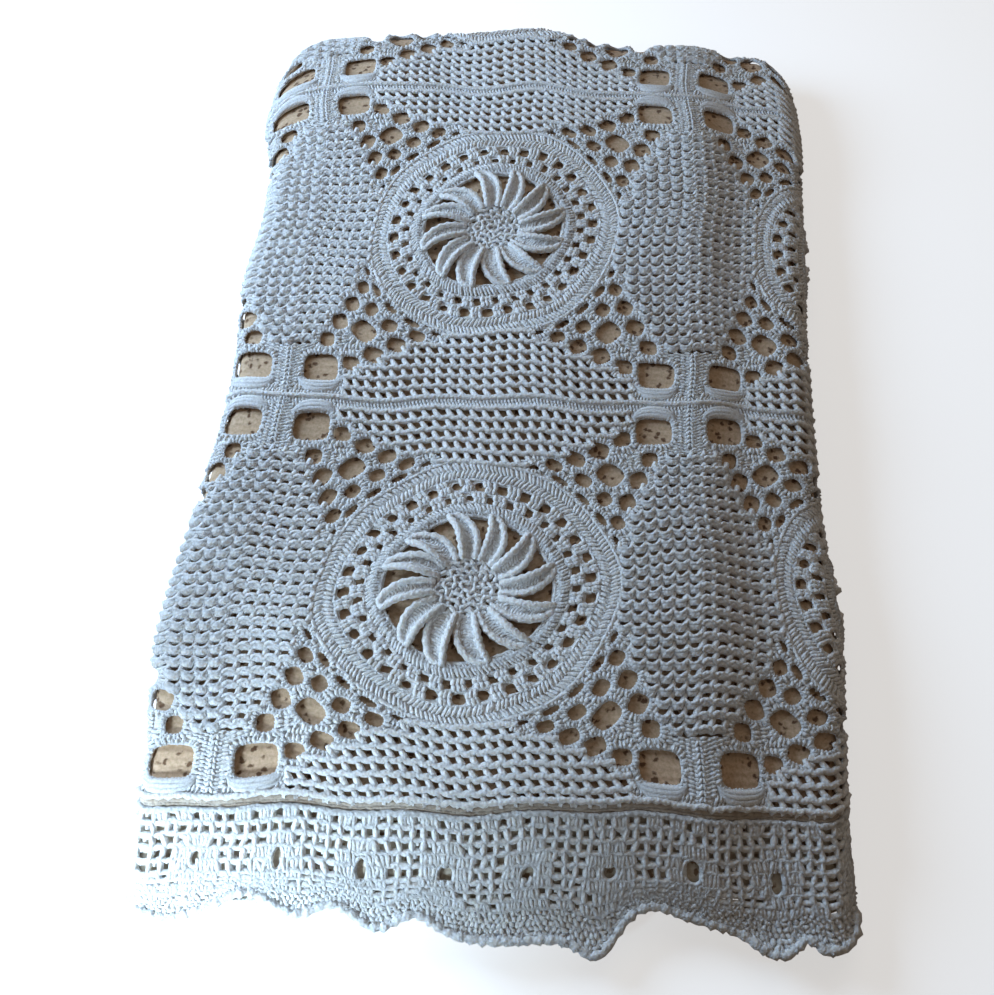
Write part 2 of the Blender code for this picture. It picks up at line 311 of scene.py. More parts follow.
def cottonShader(name, soft):
    material = bpy.data.materials.new(name)
    material.use_nodes = True
    shader = material.node_tree.nodes["Principled BSDF"]
    for socket, value in (("Roughness", cotton["roughness"]), ("Specular IOR Level", cotton["specular"]),
                          ("Sheen Weight", cotton["sheen"]), ("Sheen Roughness", cotton["sheenRoughness"]),
                          ("Subsurface Weight", soft), ("Subsurface Radius", cotton["softColour"]),
                          ("Subsurface Scale", cotton["softDepth"])):
        shader.inputs[socket].default_value = value
    return material, shader


def flatMap(material, cell, wanderScale, wanderShare, **noise):
    # the flat cloth's own map, and the same map with its lines wandering by a share of a cell
    place = addNode(material, "ShaderNodeUVMap")
    place.uv_map = "flatCloth"
    wander = addTexture(material, "ShaderNodeTexNoise", place.outputs["UV"], Scale=wanderScale / cell,
                        Detail=2.0, **noise)
    wandered = addNode(material, "ShaderNodeVectorMath")
    wandered.operation = "MULTIPLY_ADD"
    material.node_tree.links.new(wander.outputs["Color"], wandered.inputs[0])
    wandered.inputs[1].default_value = (wanderShare * cell, wanderShare * cell, 0.0)
    material.node_tree.links.new(place.outputs["UV"], wandered.inputs[2])
    return place.outputs["UV"], wandered.outputs["Vector"]


def yarnMaterial(name, light, dark, knot, knotHeight):
    # knobs as small as single loops of yarn, with painted shade darkening the creases between them
    material, shader = cottonShader(name, yarnLook["soft"])
    link = material.node_tree.links.new
    place = addNode(material, "ShaderNodeTexCoord").outputs["Object"]
    patches = addTexture(material, "ShaderNodeTexNoise", place, Scale=yarnLook["patchScale"], Detail=4.0,
                         Roughness=0.65)
    knots = addTexture(material, "ShaderNodeTexVoronoi", place, Scale=1.0 / knot, Randomness=0.9)
    fibres = addTexture(material, "ShaderNodeTexNoise", place, Scale=2.0 / knot, Detail=1.0, Roughness=0.5)
    blend = mixColours(material)
    blend.blend_type = "MULTIPLY"
    blend.inputs["Factor"].default_value = yarnLook["creaseShare"]
    tones = [(yarnLook["darkTo"], dark), (yarnLook["lightFrom"], light)]
    # painted shade: the creases between knobs are multiplied darker
    creaseShadeSteps = [(yarnLook["creaseStart"], (1.0, 1.0, 1.0)), (yarnLook["creaseEnd"], yarnLook["creaseShade"])]
    link(colourSteps(material, patches.outputs["Fac"], tones), blend.inputs["A"])
    link(colourSteps(material, knots.outputs["Distance"], creaseShadeSteps), blend.inputs["B"])
    link(blend.outputs["Result"], shader.inputs["Base Color"])
    lumps = addBump(material, knots.outputs["Distance"], yarnLook["knotBump"], knotHeight)
    lumps.invert = True
    bump = addBump(material, fibres.outputs["Fac"], yarnLook["fibreBump"], 0.4 * knotHeight, lumps)
    link(bump.outputs["Normal"], shader.inputs["Normal"])
    return material


def hiddenShadeMaterial(name, light, dark, deep, cell):
    # the layers seen through the holes: white cotton coloured tan as painted shade, fine crochet with small
    # dark gaps of painted shade, laid out on the flat cloth
    material, shader = cottonShader(name, hiddenLook["soft"])
    link = material.node_tree.links.new
    place, wandered = flatMap(material, cell, 1.6, hiddenLook["wander"], Roughness=0.6)
    gaps = addTexture(material, "ShaderNodeTexVoronoi", wandered, Scale=1.0 / cell, Randomness=1.0)
    grain = addTexture(material, "ShaderNodeTexNoise", place, Scale=2.6 / cell, Detail=3.0, Roughness=0.6)
    rows = addTexture(material, "ShaderNodeTexWave", place, Scale=0.32 / cell, Distortion=1.2, Detail=2.0)
    rows.bands_direction = "Y"
    tones = [(hiddenLook["darkTo"], dark), (hiddenLook["lightFrom"], light)]
    gapShadeMask = [(hiddenLook["gapStart"], hiddenLook["gap"]), (hiddenLook["gapEnd"], (0.0, 0.0, 0.0))]
    blend = mixColours(material, colourSteps(material, gaps.outputs["Distance"], gapShadeMask))
    link(colourSteps(material, grain.outputs["Fac"], tones), blend.inputs["A"])
    # painted shade in the gaps
    blend.inputs["B"].default_value = (*deep, 1.0)
    link(blend.outputs["Result"], shader.inputs["Base Color"])
    bump = addBump(material, rows.outputs["Fac"], hiddenLook["rowBump"], hiddenLook["rowHeight"])
    link(bump.outputs["Normal"], shader.inputs["Normal"])
    return material


def filetMaterial(name, light, deep, cell):
    # open filet cells between posts and chains, their openings painted dark as painted shade, for the edging
    # where it lies under the rest
    material, shader = cottonShader(name, filetLook["soft"])
    link = material.node_tree.links.new
    place, wandered = flatMap(material, cell, 0.5, filetLook["wander"])
    cells = addTexture(material, "ShaderNodeTexBrick", wandered, Scale=1.0, Brick_Width=cell, Row_Height=cell,
                       Mortar_Size=filetLook["post"] * cell, Mortar_Smooth=filetLook["postEdge"])
    cells.offset = 0.0
    for socket, colour in (("Color1", deep), ("Color2", deep), ("Mortar", light)):
        cells.inputs[socket].default_value = (*colour, 1.0)
    link(cells.outputs["Color"], shader.inputs["Base Color"])
    knots = addTexture(material, "ShaderNodeTexVoronoi", place, Scale=3.2 / cell, Randomness=0.9)
    lumps = addBump(material, knots.outputs["Distance"], filetLook["bump"], filetLook["knotHeight"])
    lumps.invert = True
    deepCells = addBump(material, cells.outputs["Fac"], filetLook["bump"], filetLook["cellDepth"], lumps)
    link(deepCells.outputs["Normal"], shader.inputs["Normal"])
    return material


# the brown yarn is painted shadow, for the strands sunk in the near join
yarn, laceYarn, brownYarn, cordYarn = (yarnMaterial(**row) for row in table(
    "name light dark knot knotHeight",
    ("whiteYarn", (0.90, 0.89, 0.88), (0.83, 0.82, 0.80), 0.0019, 0.0008),
    ("laceYarn", (0.94, 0.94, 0.93), (0.88, 0.87, 0.85), 0.0020, 0.0008),
    ("brownYarn", (0.60, 0.52, 0.44), (0.46, 0.38, 0.31), 0.0020, 0.0006),
    ("cordYarn", (0.90, 0.89, 0.88), (0.84, 0.83, 0.81), 0.0013, 0.00025)))
# hidden layers: their tan and brown colours are painted shade on cotton as white as the rest
hiddenCloth, edgingClothShade = (hiddenShadeMaterial(**row) for row in table(
    "name light dark deep cell",
    ("hiddenCloth", (0.66, 0.47, 0.32), (0.50, 0.34, 0.21), (0.12, 0.055, 0.025), 0.0054),
    ("hiddenEdging", (0.66, 0.58, 0.47), (0.54, 0.45, 0.34), (0.22, 0.13, 0.07), 0.0056)))
filetClothShade = filetMaterial("hiddenFiletShade", (0.84, 0.82, 0.78), (0.20, 0.15, 0.11), 0.0064)
print("materials ready")


# a strand is a line of points on the flat cloth, with a radius in millimetres at each; the numbers in
# rng.normal calls are how uneven the handwork is
def strand(points, radii, closed=False):
    return (np.asarray(points, float), np.asarray(radii, float) * np.ones(len(points)), closed)


def ropeStrand(rows, closed=False):
    # rows: (u, v, c, radius)
    rows = np.array(rows, float)
    return strand(rows[:, :3], rows[:, 3], closed)


def aboveFloor(points, room):
    points[:, 2] = np.maximum(points[:, 2], room)
    return points


def addPiece(name, mesh, material):
    mesh.name = name
    mesh.materials.append(material)
    piece = bpy.data.objects.new(name, mesh)
    bpy.context.scene.collection.objects.link(piece)
    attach(piece, "root")
    print(name, sum(len(face.vertices) - 2 for face in mesh.polygons), "triangles")
    return piece


def makeStrands(name, strands, material, sides=6):
    line = bpy.data.curves.new(name + "Line", "CURVE")
    line.dimensions = "3D"
    line.bevel_mode = "ROUND"
    line.bevel_depth = 0.001
    line.bevel_resolution = (sides - 4) // 2
    line.use_fill_caps = True
    thick = np.concatenate([item[1] for item in strands]) / 1000
    placed = aboveFloor(fold(np.concatenate([item[0] for item in strands])), thick + spread["strandRoom"])
    start = 0
    for points, radii, closed in strands:
        count = len(points)
        spline = line.splines.new("POLY")
        spline.points.add(count - 1)
        here = np.ones((count, 4))
        here[:, :3] = placed[start:start + count]
        spline.points.foreach_set("co", here.ravel())
        spline.points.foreach_set("radius", radii)
        spline.use_cyclic_u = closed
        spline.use_smooth = True
        start += count
    holder = bpy.data.objects.new(name + "Holder", line)
    mesh = bpy.data.meshes.new_from_object(holder)
    bpy.data.objects.remove(holder)
    bpy.data.curves.remove(line)
    return addPiece(name, mesh, material)


# one square, in millimetres from its centre: u across, v along
square = {
    "half": 135.0, "cells": 34, "block": 98.0, "armRoom": 8.5, "meshStart": 90.5,
    "disc": 21.5, "opening": 49.0, "padMiddle": 53.2, "padEnd": 57.8, "smallHoles": 30,
    "innerHoles": 61.8, "middleRope": 66.0, "outerHoles": 70.6, "outerRope": 74.9,
    "ropeMiddle": 81.6, "ringEnd": 88.3,
}
pitch = 2 * square["half"] / square["cells"]
# the mesh's four sectors: far, right, near, left; hem is the solid strip along the square's side
sectors = table("hem rows", (pitch, 5), (0.0, 6), (0.0, 6), (0.0, 6))
# where the arm of holes runs: p along the square's side, q out from its centre
arm = {"p": (28.0, 36.0, 48.0, 61.9, 76.8, 91.7, 98.0), "q": (80.0, 85.5, 88.5, 94.0, 100.9, 108.6, 111.5)}
# one corner's holes, for u and v both over 0: place, size, turn in degrees, squareness
fanHoles = table(
    "u v wide high turn power",
    (112.0, 113.5, 24.0, 20.5, 0, 4.0), (91.7, 108.6, 12.0, 11.3, 0, 3.0),
    (76.8, 100.9, 13.6, 12.0, -20, 3.0), (61.9, 94.0, 13.0, 11.0, -20, 2.9),
    (48.0, 87.9, 11.5, 9.0, -25, 2.8), (83.2, 83.2, 18.0, 15.0, -45, 2.9),
    (65.9, 79.2, 11.5, 10.0, -30, 2.8), (51.0, 77.6, 12.5, 5.2, -33, 2.3),
    (65.4, 65.4, 12.5, 5.2, -45, 2.3), (34.0, 86.6, 10.0, 4.0, -21, 2.3),
)
corners = [(signU, signV) for signU in (1, -1) for signV in (1, -1)]


def cornerHoles():
    found = []
    for row in fanHoles:
        found.append(row)
        if row["u"] != row["v"] and row is not fanHoles[0]:
            found.append({**row, "u": row["v"], "v": row["u"], "turn": -90 - row["turn"]})
    return [{**row, "u": row["u"] * signU, "v": row["v"] * signV, "turn": row["turn"] * signU * signV}
            for row in found for signU, signV in corners]


def roundHoles(radius, count, shift, wide, high):
    found = []
    uneven = np.random.default_rng(count)
    for k in range(count):
        angle = 2 * math.pi * (k + shift + uneven.normal(0, 0.05)) / count
        grow = uneven.normal(1.0, 0.12)
        far = radius + uneven.normal(0, 0.35)
        found.append({"u": far * math.cos(angle), "v": far * math.sin(angle), "wide": wide * grow,
                      "high": high * grow, "turn": math.degrees(angle) + 90, "power": 2.4})
    return found


cornerGaps = cornerHoles()
ringGaps = (roundHoles(square["innerHoles"], square["smallHoles"], 0.0, 5.6, 4.2)
            + roundHoles(square["outerHoles"], square["smallHoles"], 0.5, 6.8, 5.2))
discGaps = roundHoles(8.4, 7, 0.2, 3.4, 2.6) + roundHoles(14.9, 12, 0.0, 3.6, 2.8)


def holeSize(u, v, hole):
    # how far out a place is (1 on the hole's edge, less inside), and its distance from the middle
    turn = math.radians(hole["turn"])
    du = u - hole["u"]
    dv = v - hole["v"]
    s = np.abs(du * math.cos(turn) + dv * math.sin(turn)) / (hole["wide"] / 2)
    t = np.abs(dv * math.cos(turn) - du * math.sin(turn)) / (hole["high"] / 2)
    return (s ** hole["power"] + t ** hole["power"]) ** (1 / hole["power"]), np.hypot(du, dv)


def offEdge(size, reach):
    # about how far a place is outside a hole's edge, in millimetres; under 0 inside it
    return (size - 1) * reach / np.maximum(size, 1e-6)


def holeDistance(u, v, holes):
    best = np.full(np.shape(u), 1e3)
    for hole in holes:
        best = np.minimum(best, offEdge(*holeSize(u, v, hole)))
    return best


def inMesh(p, q):
    # p along the nearest side of the square, q out from its centre
    p = np.abs(p)
    clearOfArm = (p < arm["p"][0]) | (q > np.interp(p, arm["p"], arm["q"]) + square["armRoom"])
    return clearOfArm & (np.hypot(p, q) > square["meshStart"]) & (p < square["block"])


def openCell(u, v):
    # whether a place lies in an open cell of the mesh
    across = np.abs(u) > np.abs(v)
    side = np.where(across, np.where(u > 0, 1, 3), np.where(v > 0, 0, 2))
    q = np.maximum(np.abs(u), np.abs(v))
    p = np.where(across, v, u)
    hem = np.array([row["hem"] for row in sectors])[side]
    rows = np.array([row["rows"] for row in sectors])[side]
    k = np.floor((square["half"] - hem - q) / pitch)
    middleQ = square["half"] - hem - (k + 0.5) * pitch
    middleP = (np.floor(p / pitch) + 0.5) * pitch
    return (k >= 0) & (k < rows) & inMesh(middleP, middleQ)


def turned(side, p, q):
    # p always runs to the right or far: side 0 is far, 1 right, 2 near and 3 left
    return ((p, q), (q, p), (p, -q), (-q, p))[side]


def openRuns(flags):
    # (first, after the last) of each run of true flags
    runs = []
    k = 0
    while k < len(flags):
        if flags[k]:
            end = k
            while end < len(flags) and flags[end]:
                end += 1
            runs.append((k, end))
            k = end
        k += 1
    return runs


def sectorCells(side):
    # the middles of a sector's columns, the edges of its rows, and which of its cells are mesh
    hem, rows = sectors[side]["hem"], sectors[side]["rows"]
    columns = (np.arange(square["cells"]) + 0.5) * pitch - square["half"]
    edges = square["half"] - hem - np.arange(rows + 1) * pitch
    return columns, edges, [[inMesh(p, q - pitch / 2) for p in columns] for q in edges[:-1]]


def touching(cells, k):
    # which columns have mesh on either side of edge k
    return [any(row[j] for row in cells[max(0, k - 1):k + 1]) for j in range(len(cells[0]))]


# side sectors: scalloped ridges lie across the square, a proud crest over a lower body, with a
# short upright between every two cells
sideMesh = {"crest": 1.4, "body": 2.55, "upright": 1.6, "cusp": 2.6,
            "bump": 2.5, "bumpBody": 2.3, "bumpUpright": 2.1,
            "slip": 0.25, "droop": 0.3, "swell": 0.15, "thinEnd": 0.45}
# pulled close round the left fold
tightSideMesh = {**sideMesh, "crest": 1.5, "body": 3.05, "cusp": 1.9, "upright": 1.9}
crestLine = table("share lift", (0.0, 1.5), (0.16, 1.9), (0.40, 1.7), (0.66, 1.9), (0.88, 2.0))
uprightLine = table("out along", (-0.9, 0.8), (0.2, 3.2), (1.1, 6.4))
bodyLine = table("share low thin lift", (0.0, 1.3, sideMesh["thinEnd"], -0.1), (0.33, 1.9, 0.0, 0.45),
                 (0.70, 1.8, 0.0, 0.45))


def scallop(share, side, sizes):
    # how far up the ridge stands at a share of its cell: hanging curves left of a joint, bumps right
    arch = math.sin(math.pi * share) ** 0.75
    return sizes["cusp"] * (1 - arch) if side == 1 else sizes["bump"] * arch


def ridge(start, end, p, count, side, sizes, rng):
    # one ridge's two strands, over count cells
    body = sizes["body" if side == 1 else "bumpBody"]
    uneven = 1.0 if side == 1 else 0.5
    crests = []
    bodies = []
    for cell in range(count):
        left = start + cell * pitch + rng.normal(0, sizes["slip"])
        droop = uneven * rng.normal(0, sizes["droop"])
        grow = 1.0 + uneven * rng.normal(0, sizes["swell"])
        for row in crestLine:
            up = grow * scallop(row["share"], side, sizes) - 0.5
            crests.append((left + row["share"] * pitch, p + up + droop, row["lift"],
                           sizes["crest"] + rng.normal(0, 0.12)))
        for row in bodyLine:
            up = 0.9 * grow * scallop(row["share"], side, sizes) - row["low"]
            bodies.append((left + row["share"] * pitch, p + up + droop, row["lift"],
                           body - row["thin"] + rng.normal(0, 0.10)))
    up = scallop(0.0, side, sizes)
    crests.append((end + 0.6, p + up - 0.6, 0.7, sizes["crest"] - 0.15))
    bodies.append((end + 0.6, p + 0.8 * up - 1.4, -0.1, body - sizes["thinEnd"]))
    return [ropeStrand(crests), ropeStrand(bodies)]


def sideMeshStrands(side, sizes, rng):
    strands = []
    columns, edges, cells = sectorCells(side)
    for j, p in enumerate(columns):
        for first, last in openRuns([row[j] for row in cells]):
            start, end = (edges[last], edges[first]) if side == 1 else (-edges[first], -edges[last])
            strands += ridge(start, end, p, last - first, side, sizes, rng)
    thick, over = (sizes["upright"], -0.2) if side == 1 else (sizes["bumpUpright"], 0.3)
    for k, q in enumerate(edges):
        for p, use in zip(columns, touching(cells, k)):
            if use:
                u = q if side == 1 else -q
                jog = rng.normal(0, 0.3)
                points = [(u + row["out"] + jog, p + row["along"], lift)
                          for row, lift in zip(uprightLine, (0.5, over, over - 0.4))]
                strands.append(strand(points, (1.8, thick, 0.95 * thick)))
    return strands


# end sectors: bright chain lines with posts that lean
endMesh = {"chain": 1.85, "knob": 0.25, "post": 1.9, "lean": 2.2, "sag": 0.9, "steps": 4}


def endMeshStrands(side, rng):
    strands = []
    sign = 1 if side == 0 else -1
    steps, lean = endMesh["steps"], endMesh["lean"]
    columns, edges, cells = sectorCells(side)
    for k, q in enumerate(edges):
        for first, last in openRuns(touching(cells, k)):
            rows = []
            for step in range((last - first) * steps + 1):
                p = columns[first] - pitch / 2 + step * pitch / steps
                hang = endMesh["sag"] * (math.sin(math.pi * step / steps) ** 2 - 0.5)
                rows.append((p, sign * q - hang + rng.normal(0, 0.16), 0.7 + 0.35 * (step % 2),
                             endMesh["chain"] + endMesh["knob"] * (step % 2) + rng.normal(0, 0.06)))
            strands.append(ropeStrand(rows))
    for k, row in enumerate(cells):
        top, low = (edges[k], edges[k + 1]) if side == 0 else (-edges[k + 1], -edges[k])
        for j in range(len(columns) + 1):
            if not any(row[max(0, j - 1):j + 1]):
                continue
            p = columns[j] - pitch / 2 if j < len(columns) else columns[-1] + pitch / 2
            p += rng.normal(0, 0.25)
            points = [(p - lean, top - 0.2, 0.1), (p - 0.1 * lean, (top + low) / 2, 0.35),
                      (p + lean, low + 0.5, 0.75)]
            strands.append(strand(points, (1.5, endMesh["post"], 1.9)))
    return strands


# short stitches worked over the corner holes' edges, on a rope round each hole
holeEdge = {"ropeOut": 0.9, "rope": 1.25, "ropeStep": 3.2, "thick": 1.5, "reach": 4.2, "slitReach": 3.0,
            "bigApart": 2.6, "apart": 2.5, "bigWide": 20, "slitHigh": 6, "neighbour": 32,
            "clear": 0.6, "clearOuter": 0.8, "shorter": 0.7}


def edgePoint(hole, angle, out):
    c = math.cos(angle)
    s = math.sin(angle)
    size = (abs(c) ** hole["power"] + abs(s) ** hole["power"]) ** (-1 / hole["power"])
    nx = c / (hole["wide"] / 2)
    ny = s / (hole["high"] / 2)
    steep = math.hypot(nx, ny)
    x = hole["wide"] / 2 * c * size + out * nx / steep
    y = hole["high"] / 2 * s * size + out * ny / steep
    turn = math.radians(hole["turn"])
    return (hole["u"] + x * math.cos(turn) - y * math.sin(turn),
            hole["v"] + x * math.sin(turn) + y * math.cos(turn))


def evenAngles(hole, apart):
    # angles that space stitches evenly along a hole's edge
    fine = np.linspace(0, 2 * math.pi, 181)
    edge = np.array([edgePoint(hole, a, 1.5) for a in fine])
    along = np.concatenate([[0], np.cumsum(np.hypot(*np.diff(edge, axis=0).T))])
    count = max(6, int(round(along[-1] / apart)))
    return np.interp(np.arange(count) * along[-1] / count, along, fine)


def whippedEdge(hole, others, apart, reach, rng):
    strands = []
    thick = holeEdge["thick"]
    for angle in evenAngles(hole, apart):
        angle += rng.normal(0, 0.05)
        lean = 0.5 / max(hole["wide"], hole["high"])
        start = edgePoint(hole, angle - lean, -0.1)
        middle = edgePoint(hole, angle, reach * 0.45)
        outer = edgePoint(hole, angle + lean, reach)
        if holeDistance(*middle, others) < holeEdge["clear"]:
            continue
        if holeDistance(*outer, others) < holeEdge["clearOuter"]:
            outer = edgePoint(hole, angle + lean, reach * holeEdge["shorter"])
        lift = rng.normal(0, 0.25)
        strands.append(strand([(*start, -0.3), (*middle, 1.0 + lift), (*outer, 0.2 + lift)],
                              (0.75 * thick, thick, 0.7 * thick)))
    return strands


def rimStrands(rng):
    strands = []
    for hole in cornerGaps:
        others = [other for other in cornerGaps if other is not hole
                  and math.hypot(other["u"] - hole["u"], other["v"] - hole["v"]) < holeEdge["neighbour"]]
        strands.append(ropeStrand([
            (*edgePoint(hole, angle, holeEdge["ropeOut"]), 0.0 + 0.15 * (k % 2),
             holeEdge["rope"] * (1.0 if k % 2 else 0.88))
            for k, angle in enumerate(evenAngles(hole, holeEdge["ropeStep"]))], True))
        apart = holeEdge["bigApart" if hole["wide"] > holeEdge["bigWide"] else "apart"]
        reach = holeEdge["slitReach" if hole["high"] < holeEdge["slitHigh"] else "reach"]
        strands += whippedEdge(hole, others, apart, reach, rng)
    return strands


# the padded band on the side of each big hole that faces the next square: one cord's line
paddedLine = table(
    "u v radius spread",
    (97.6, 121.6, 0.9, 0.1), (99.6, 125.0, 1.6, 0.5), (103.6, 127.4, 2.1, 0.9), (109.0, 128.2, 2.4, 1.0),
    (115.0, 128.2, 2.4, 1.0), (120.4, 127.4, 2.1, 0.9), (124.4, 125.0, 1.6, 0.5), (126.4, 121.6, 0.9, 0.1),
)
bandCords = table("side lift thick", (-2.2, 0.1, 1.0), (0.0, 0.2, 1.1), (2.2, 0.1, 1.0))


def paddedCords():
    return [ropeStrand([(signU * row["u"], signV * (row["v"] + cord["side"] * row["spread"]),
                         cord["lift"] + 0.15 * row["radius"], cord["thick"] * row["radius"])
                        for row in paddedLine])
            for signU, signV in corners for cord in bandCords]


def leaningStitch(middle, long, heading, lifts):
    # the three points of a short stitch round its middle
    return [(middle[0] + long * share * math.sin(heading), middle[1] + long * share * math.cos(heading), lift)
            for share, lift in zip((-0.5, 0.0, 0.5), lifts)]


def roundPoint(radius, angle, lift):
    return (radius * math.cos(angle), radius * math.sin(angle), lift)


def radialStitches(start, end, count, slant, thick, lift, low, rng):
    # a round of stitches; slant is how far the outer end lies round from the inner one
    strands = []
    middle = (start + end) / 2
    for k in range(count):
        angle = 2 * math.pi * (k + rng.normal(0, 0.15)) / count
        points = []
        for share in (0.0, 0.5, 1.0):
            radius = start + share * (end - start) + rng.normal(0, 0.25)
            points.append(roundPoint(radius, angle + slant * (share - 0.5) / middle,
                                     low + lift * (1 - abs(2 * share - 1)) + rng.normal(0, 0.08)))
        strands.append(strand(points, (0.6 * thick, thick, 0.65 * thick)))
    return strands


# rows of short leaning stitches on the solid parts
fill = {"across": 2.3, "out": 3.3, "start": 20.0, "lean": -0.9, "long": 3.7, "ringRoom": 1.5,
        "holeRoom": 4.0, "lifts": (0.2, 0.7, 0.3), "radii": (0.9, 1.25, 0.9)}


def fillStitches(rng):
    strands = []
    for side in range(4):
        for row, q in enumerate(np.arange(fill["start"], square["half"] - 1.0, fill["out"])):
            p = np.arange(-square["half"], square["half"], fill["across"]) + (row % 2) * fill["across"] / 2
            p = p[np.abs(p) <= q + 0.1]
            if not len(p):
                continue
            u, v = turned(side, p, np.full(len(p), q))
            solid = (np.hypot(u, v) > square["ringEnd"] + fill["ringRoom"]) & ~openCell(u, v)
            clear = holeDistance(u, v, cornerGaps) > fill["holeRoom"]
            for place in p[solid & clear]:
                lean = fill["lean"] + rng.normal(0, 0.2)
                points = []
                for share, lift in zip((-0.5, 0.0, 0.5), fill["lifts"]):
                    points.append((*turned(side, place + lean * share, q + share * fill["long"]),
                                   lift + rng.normal(0, 0.2)))
                strands.append(strand(points, fill["radii"]))
    return strands


# the joins: a thick rope along the far side, a thin chain along the left side
join = {"steps": 68, "in": 0.4, "lift": 1.2, "rope": 2.15, "knob": 0.25, "chainStep": 3.4}
chainStitch = table("out along lift radius", (2.1, -1.5, 0.5, 0.7), (1.2, 0.3, 1.5, 1.15),
                    (0.3, 1.9, 1.0, 0.8))


def seamStrands(rng):
    half, steps, apart = square["half"], join["steps"], join["chainStep"]
    strands = [ropeStrand([(-half + 2 * half * k / steps, half - join["in"] + rng.normal(0, 0.12),
                            join["lift"] + 0.15 * (k % 2), join["rope"] + join["knob"] * (k % 2))
                           for k in range(steps + 1)])]
    for k in range(int(2 * half / apart)):
        v = -half + apart * (k + 0.5)
        if abs(v) < square["block"]:
            continue
        for side in (1, -1):
            strands.append(ropeStrand([(-half + row["out"] * side, v + row["along"], row["lift"],
                                        row["radius"]) for row in chainStitch]))
    return strands


# the rings round a flower: ropes; rounds of slanted stitches; and the bars between the small holes
ringRopes = table(
    "radius lift thick count knot",
    (square["opening"] + 0.6, 0.3, 1.5, 84, 0.25), (square["padMiddle"], 0.3, 2.6, 72, 0.1),
    (square["padEnd"] + 0.7, 0.0, 1.2, 96, 0.3), (square["middleRope"], 0.0, 1.3, 104, 0.35),
    (square["outerRope"] + 0.3, 0.0, 1.2, 112, 0.35), (square["ringEnd"], 0.3, 1.6, 136, 0.3),
)
ringRounds = table(
    "start end count slant thick lift low",
    (square["opening"] + 0.4, square["padEnd"], 146, 3.4, 1.35, 1.6, 0.5),
    (square["outerRope"] + 0.3, square["ropeMiddle"] + 0.2, 184, -3.2, 1.35, 0.6, 0.1),
    (square["ropeMiddle"] - 0.2, square["ringEnd"] - 0.4, 196, 3.2, 1.35, 0.6, 0.1),
)
ringBars = table("radius shift start end thick", (square["innerHoles"], 0.0, 58.8, 65.8, 1.95),
                 (square["outerHoles"], 0.5, 66.4, 75.0, 1.7))
barSlips = (-2.6, -0.1, 2.4)  # where a bar's stitches lie, in millimetres round the ring


def ringLines():
    strands = []
    for row in ringRopes:
        rows = []
        for k in range(row["count"]):
            place = roundPoint(row["radius"], 2 * math.pi * k / row["count"], row["lift"] + 0.2 * (k % 2))
            rows.append((*place, row["thick"] * (1.0 if k % 2 else 1.0 - row["knot"])))
        strands.append(ropeStrand(rows, True))
    return strands


def barStitches(row, k, rng):
    # the stitches of one bar, in two halves that lean apart
    strands = []
    radius, thick = row["radius"], row["thick"]
    half = (row["end"] - row["start"]) / 2
    middle = 2 * math.pi * (k + 0.5 + row["shift"]) / square["smallHoles"]
    for slip in barSlips:
        for part in (0, 1):
            angle = middle + (slip + 0.5 * part + rng.normal(0, 0.35)) / radius
            lean = (0.8 if part else -0.8) / radius
            points = [roundPoint(row["start"] + half * (part + share), angle + lean * (share - 0.5),
                                 over + rng.normal(0, 0.25))
                      for share, over in ((0.0, 0.2), (0.5, 0.5), (1.0, 0.2))]
            strands.append(strand(points, (0.75 * thick, thick, 0.75 * thick)))
    return strands


def ringStrands(rng):
    strands = ringLines()
    for row in ringRounds:
        strands += radialStitches(**row, rng=rng)
    for row in ringBars:
        for k in range(square["smallHoles"]):
            strands += barStitches(row, k, rng)
    return strands


# the disc in the flower's middle: wavy rounds that swell and sink, with short stitches between them
discRounds = table("radius count wave thick", (3.6, 10, 0.9, 1.6), (8.2, 22, 1.2, 1.6),
                   (12.8, 34, 1.3, 1.65), (17.4, 46, 1.2, 1.7))
discStitches = table("radius count", (6.0, 9), (10.5, 15), (15.1, 22), (20.0, 30))


def discStrands(rng):
    strands = []
    for row in discRounds:
        rows = []
        for k in range(row["count"]):
            reach = row["radius"] + row["wave"] * (1 if k % 4 < 2 else -1) + rng.normal(0, 0.35)
            rows.append((*roundPoint(reach, 2 * math.pi * k / row["count"],
                                     0.6 + 1.3 * (k % 2) + rng.normal(0, 0.3)),
                         row["thick"] * (1.0 if k % 2 else 0.8)))
        strands.append(ropeStrand(rows, True))
    for row in discStitches:
        for k in range(row["count"]):
            angle = 2 * math.pi * (k + rng.normal(0, 0.12)) / row["count"]
            points = [roundPoint(row["radius"] + out, angle + 0.5 * out / row["radius"],
                                 over + rng.normal(0, 0.2))
                      for out, over in ((-2.4, 0.0), (0.0, 1.1), (2.4, 0.2))]
            strands.append(strand(points, (1.1, 1.5, 1.1)))
    return strands


# the twelve petals of a square's flower
petal = {"count": 12, "start": 0.30, "inner": 18.5, "outer": 50.5, "swirl": 14.0, "wide": 9.8,
         "nearWide": 3.2, "cup": 2.4, "nearCup": 1.2, "tilt": 0.9, "rim": 2.35, "ribs": 17, "rib": 1.5,
         "ribEdge": 1.25, "sideSteps": 13, "crown": 1.3,
         "waist": 0.42, "belly": 0.58, "bellyStart": 0.16, "bellyEnd": 0.72, "swirlStart": 0.35,
         "tip": [(0.99, 0.75), (1.03, 0.0), (0.99, -0.75)]}


def petalFrame(k, rng):
    angle = 2 * math.pi * (k + petal["start"]) / petal["count"]
    near = max(0.0, -math.sin(angle)) ** 2  # petals on the near side lie flatter and look wider
    return {"angle": angle + rng.normal(0, 0.035),
            "wide": petal["wide"] + petal["nearWide"] * near + rng.normal(0, 0.6),
            "cup": petal["cup"] - petal["nearCup"] * near + rng.normal(0, 0.3),
            "tilt": rng.normal(petal["tilt"], 0.4)}


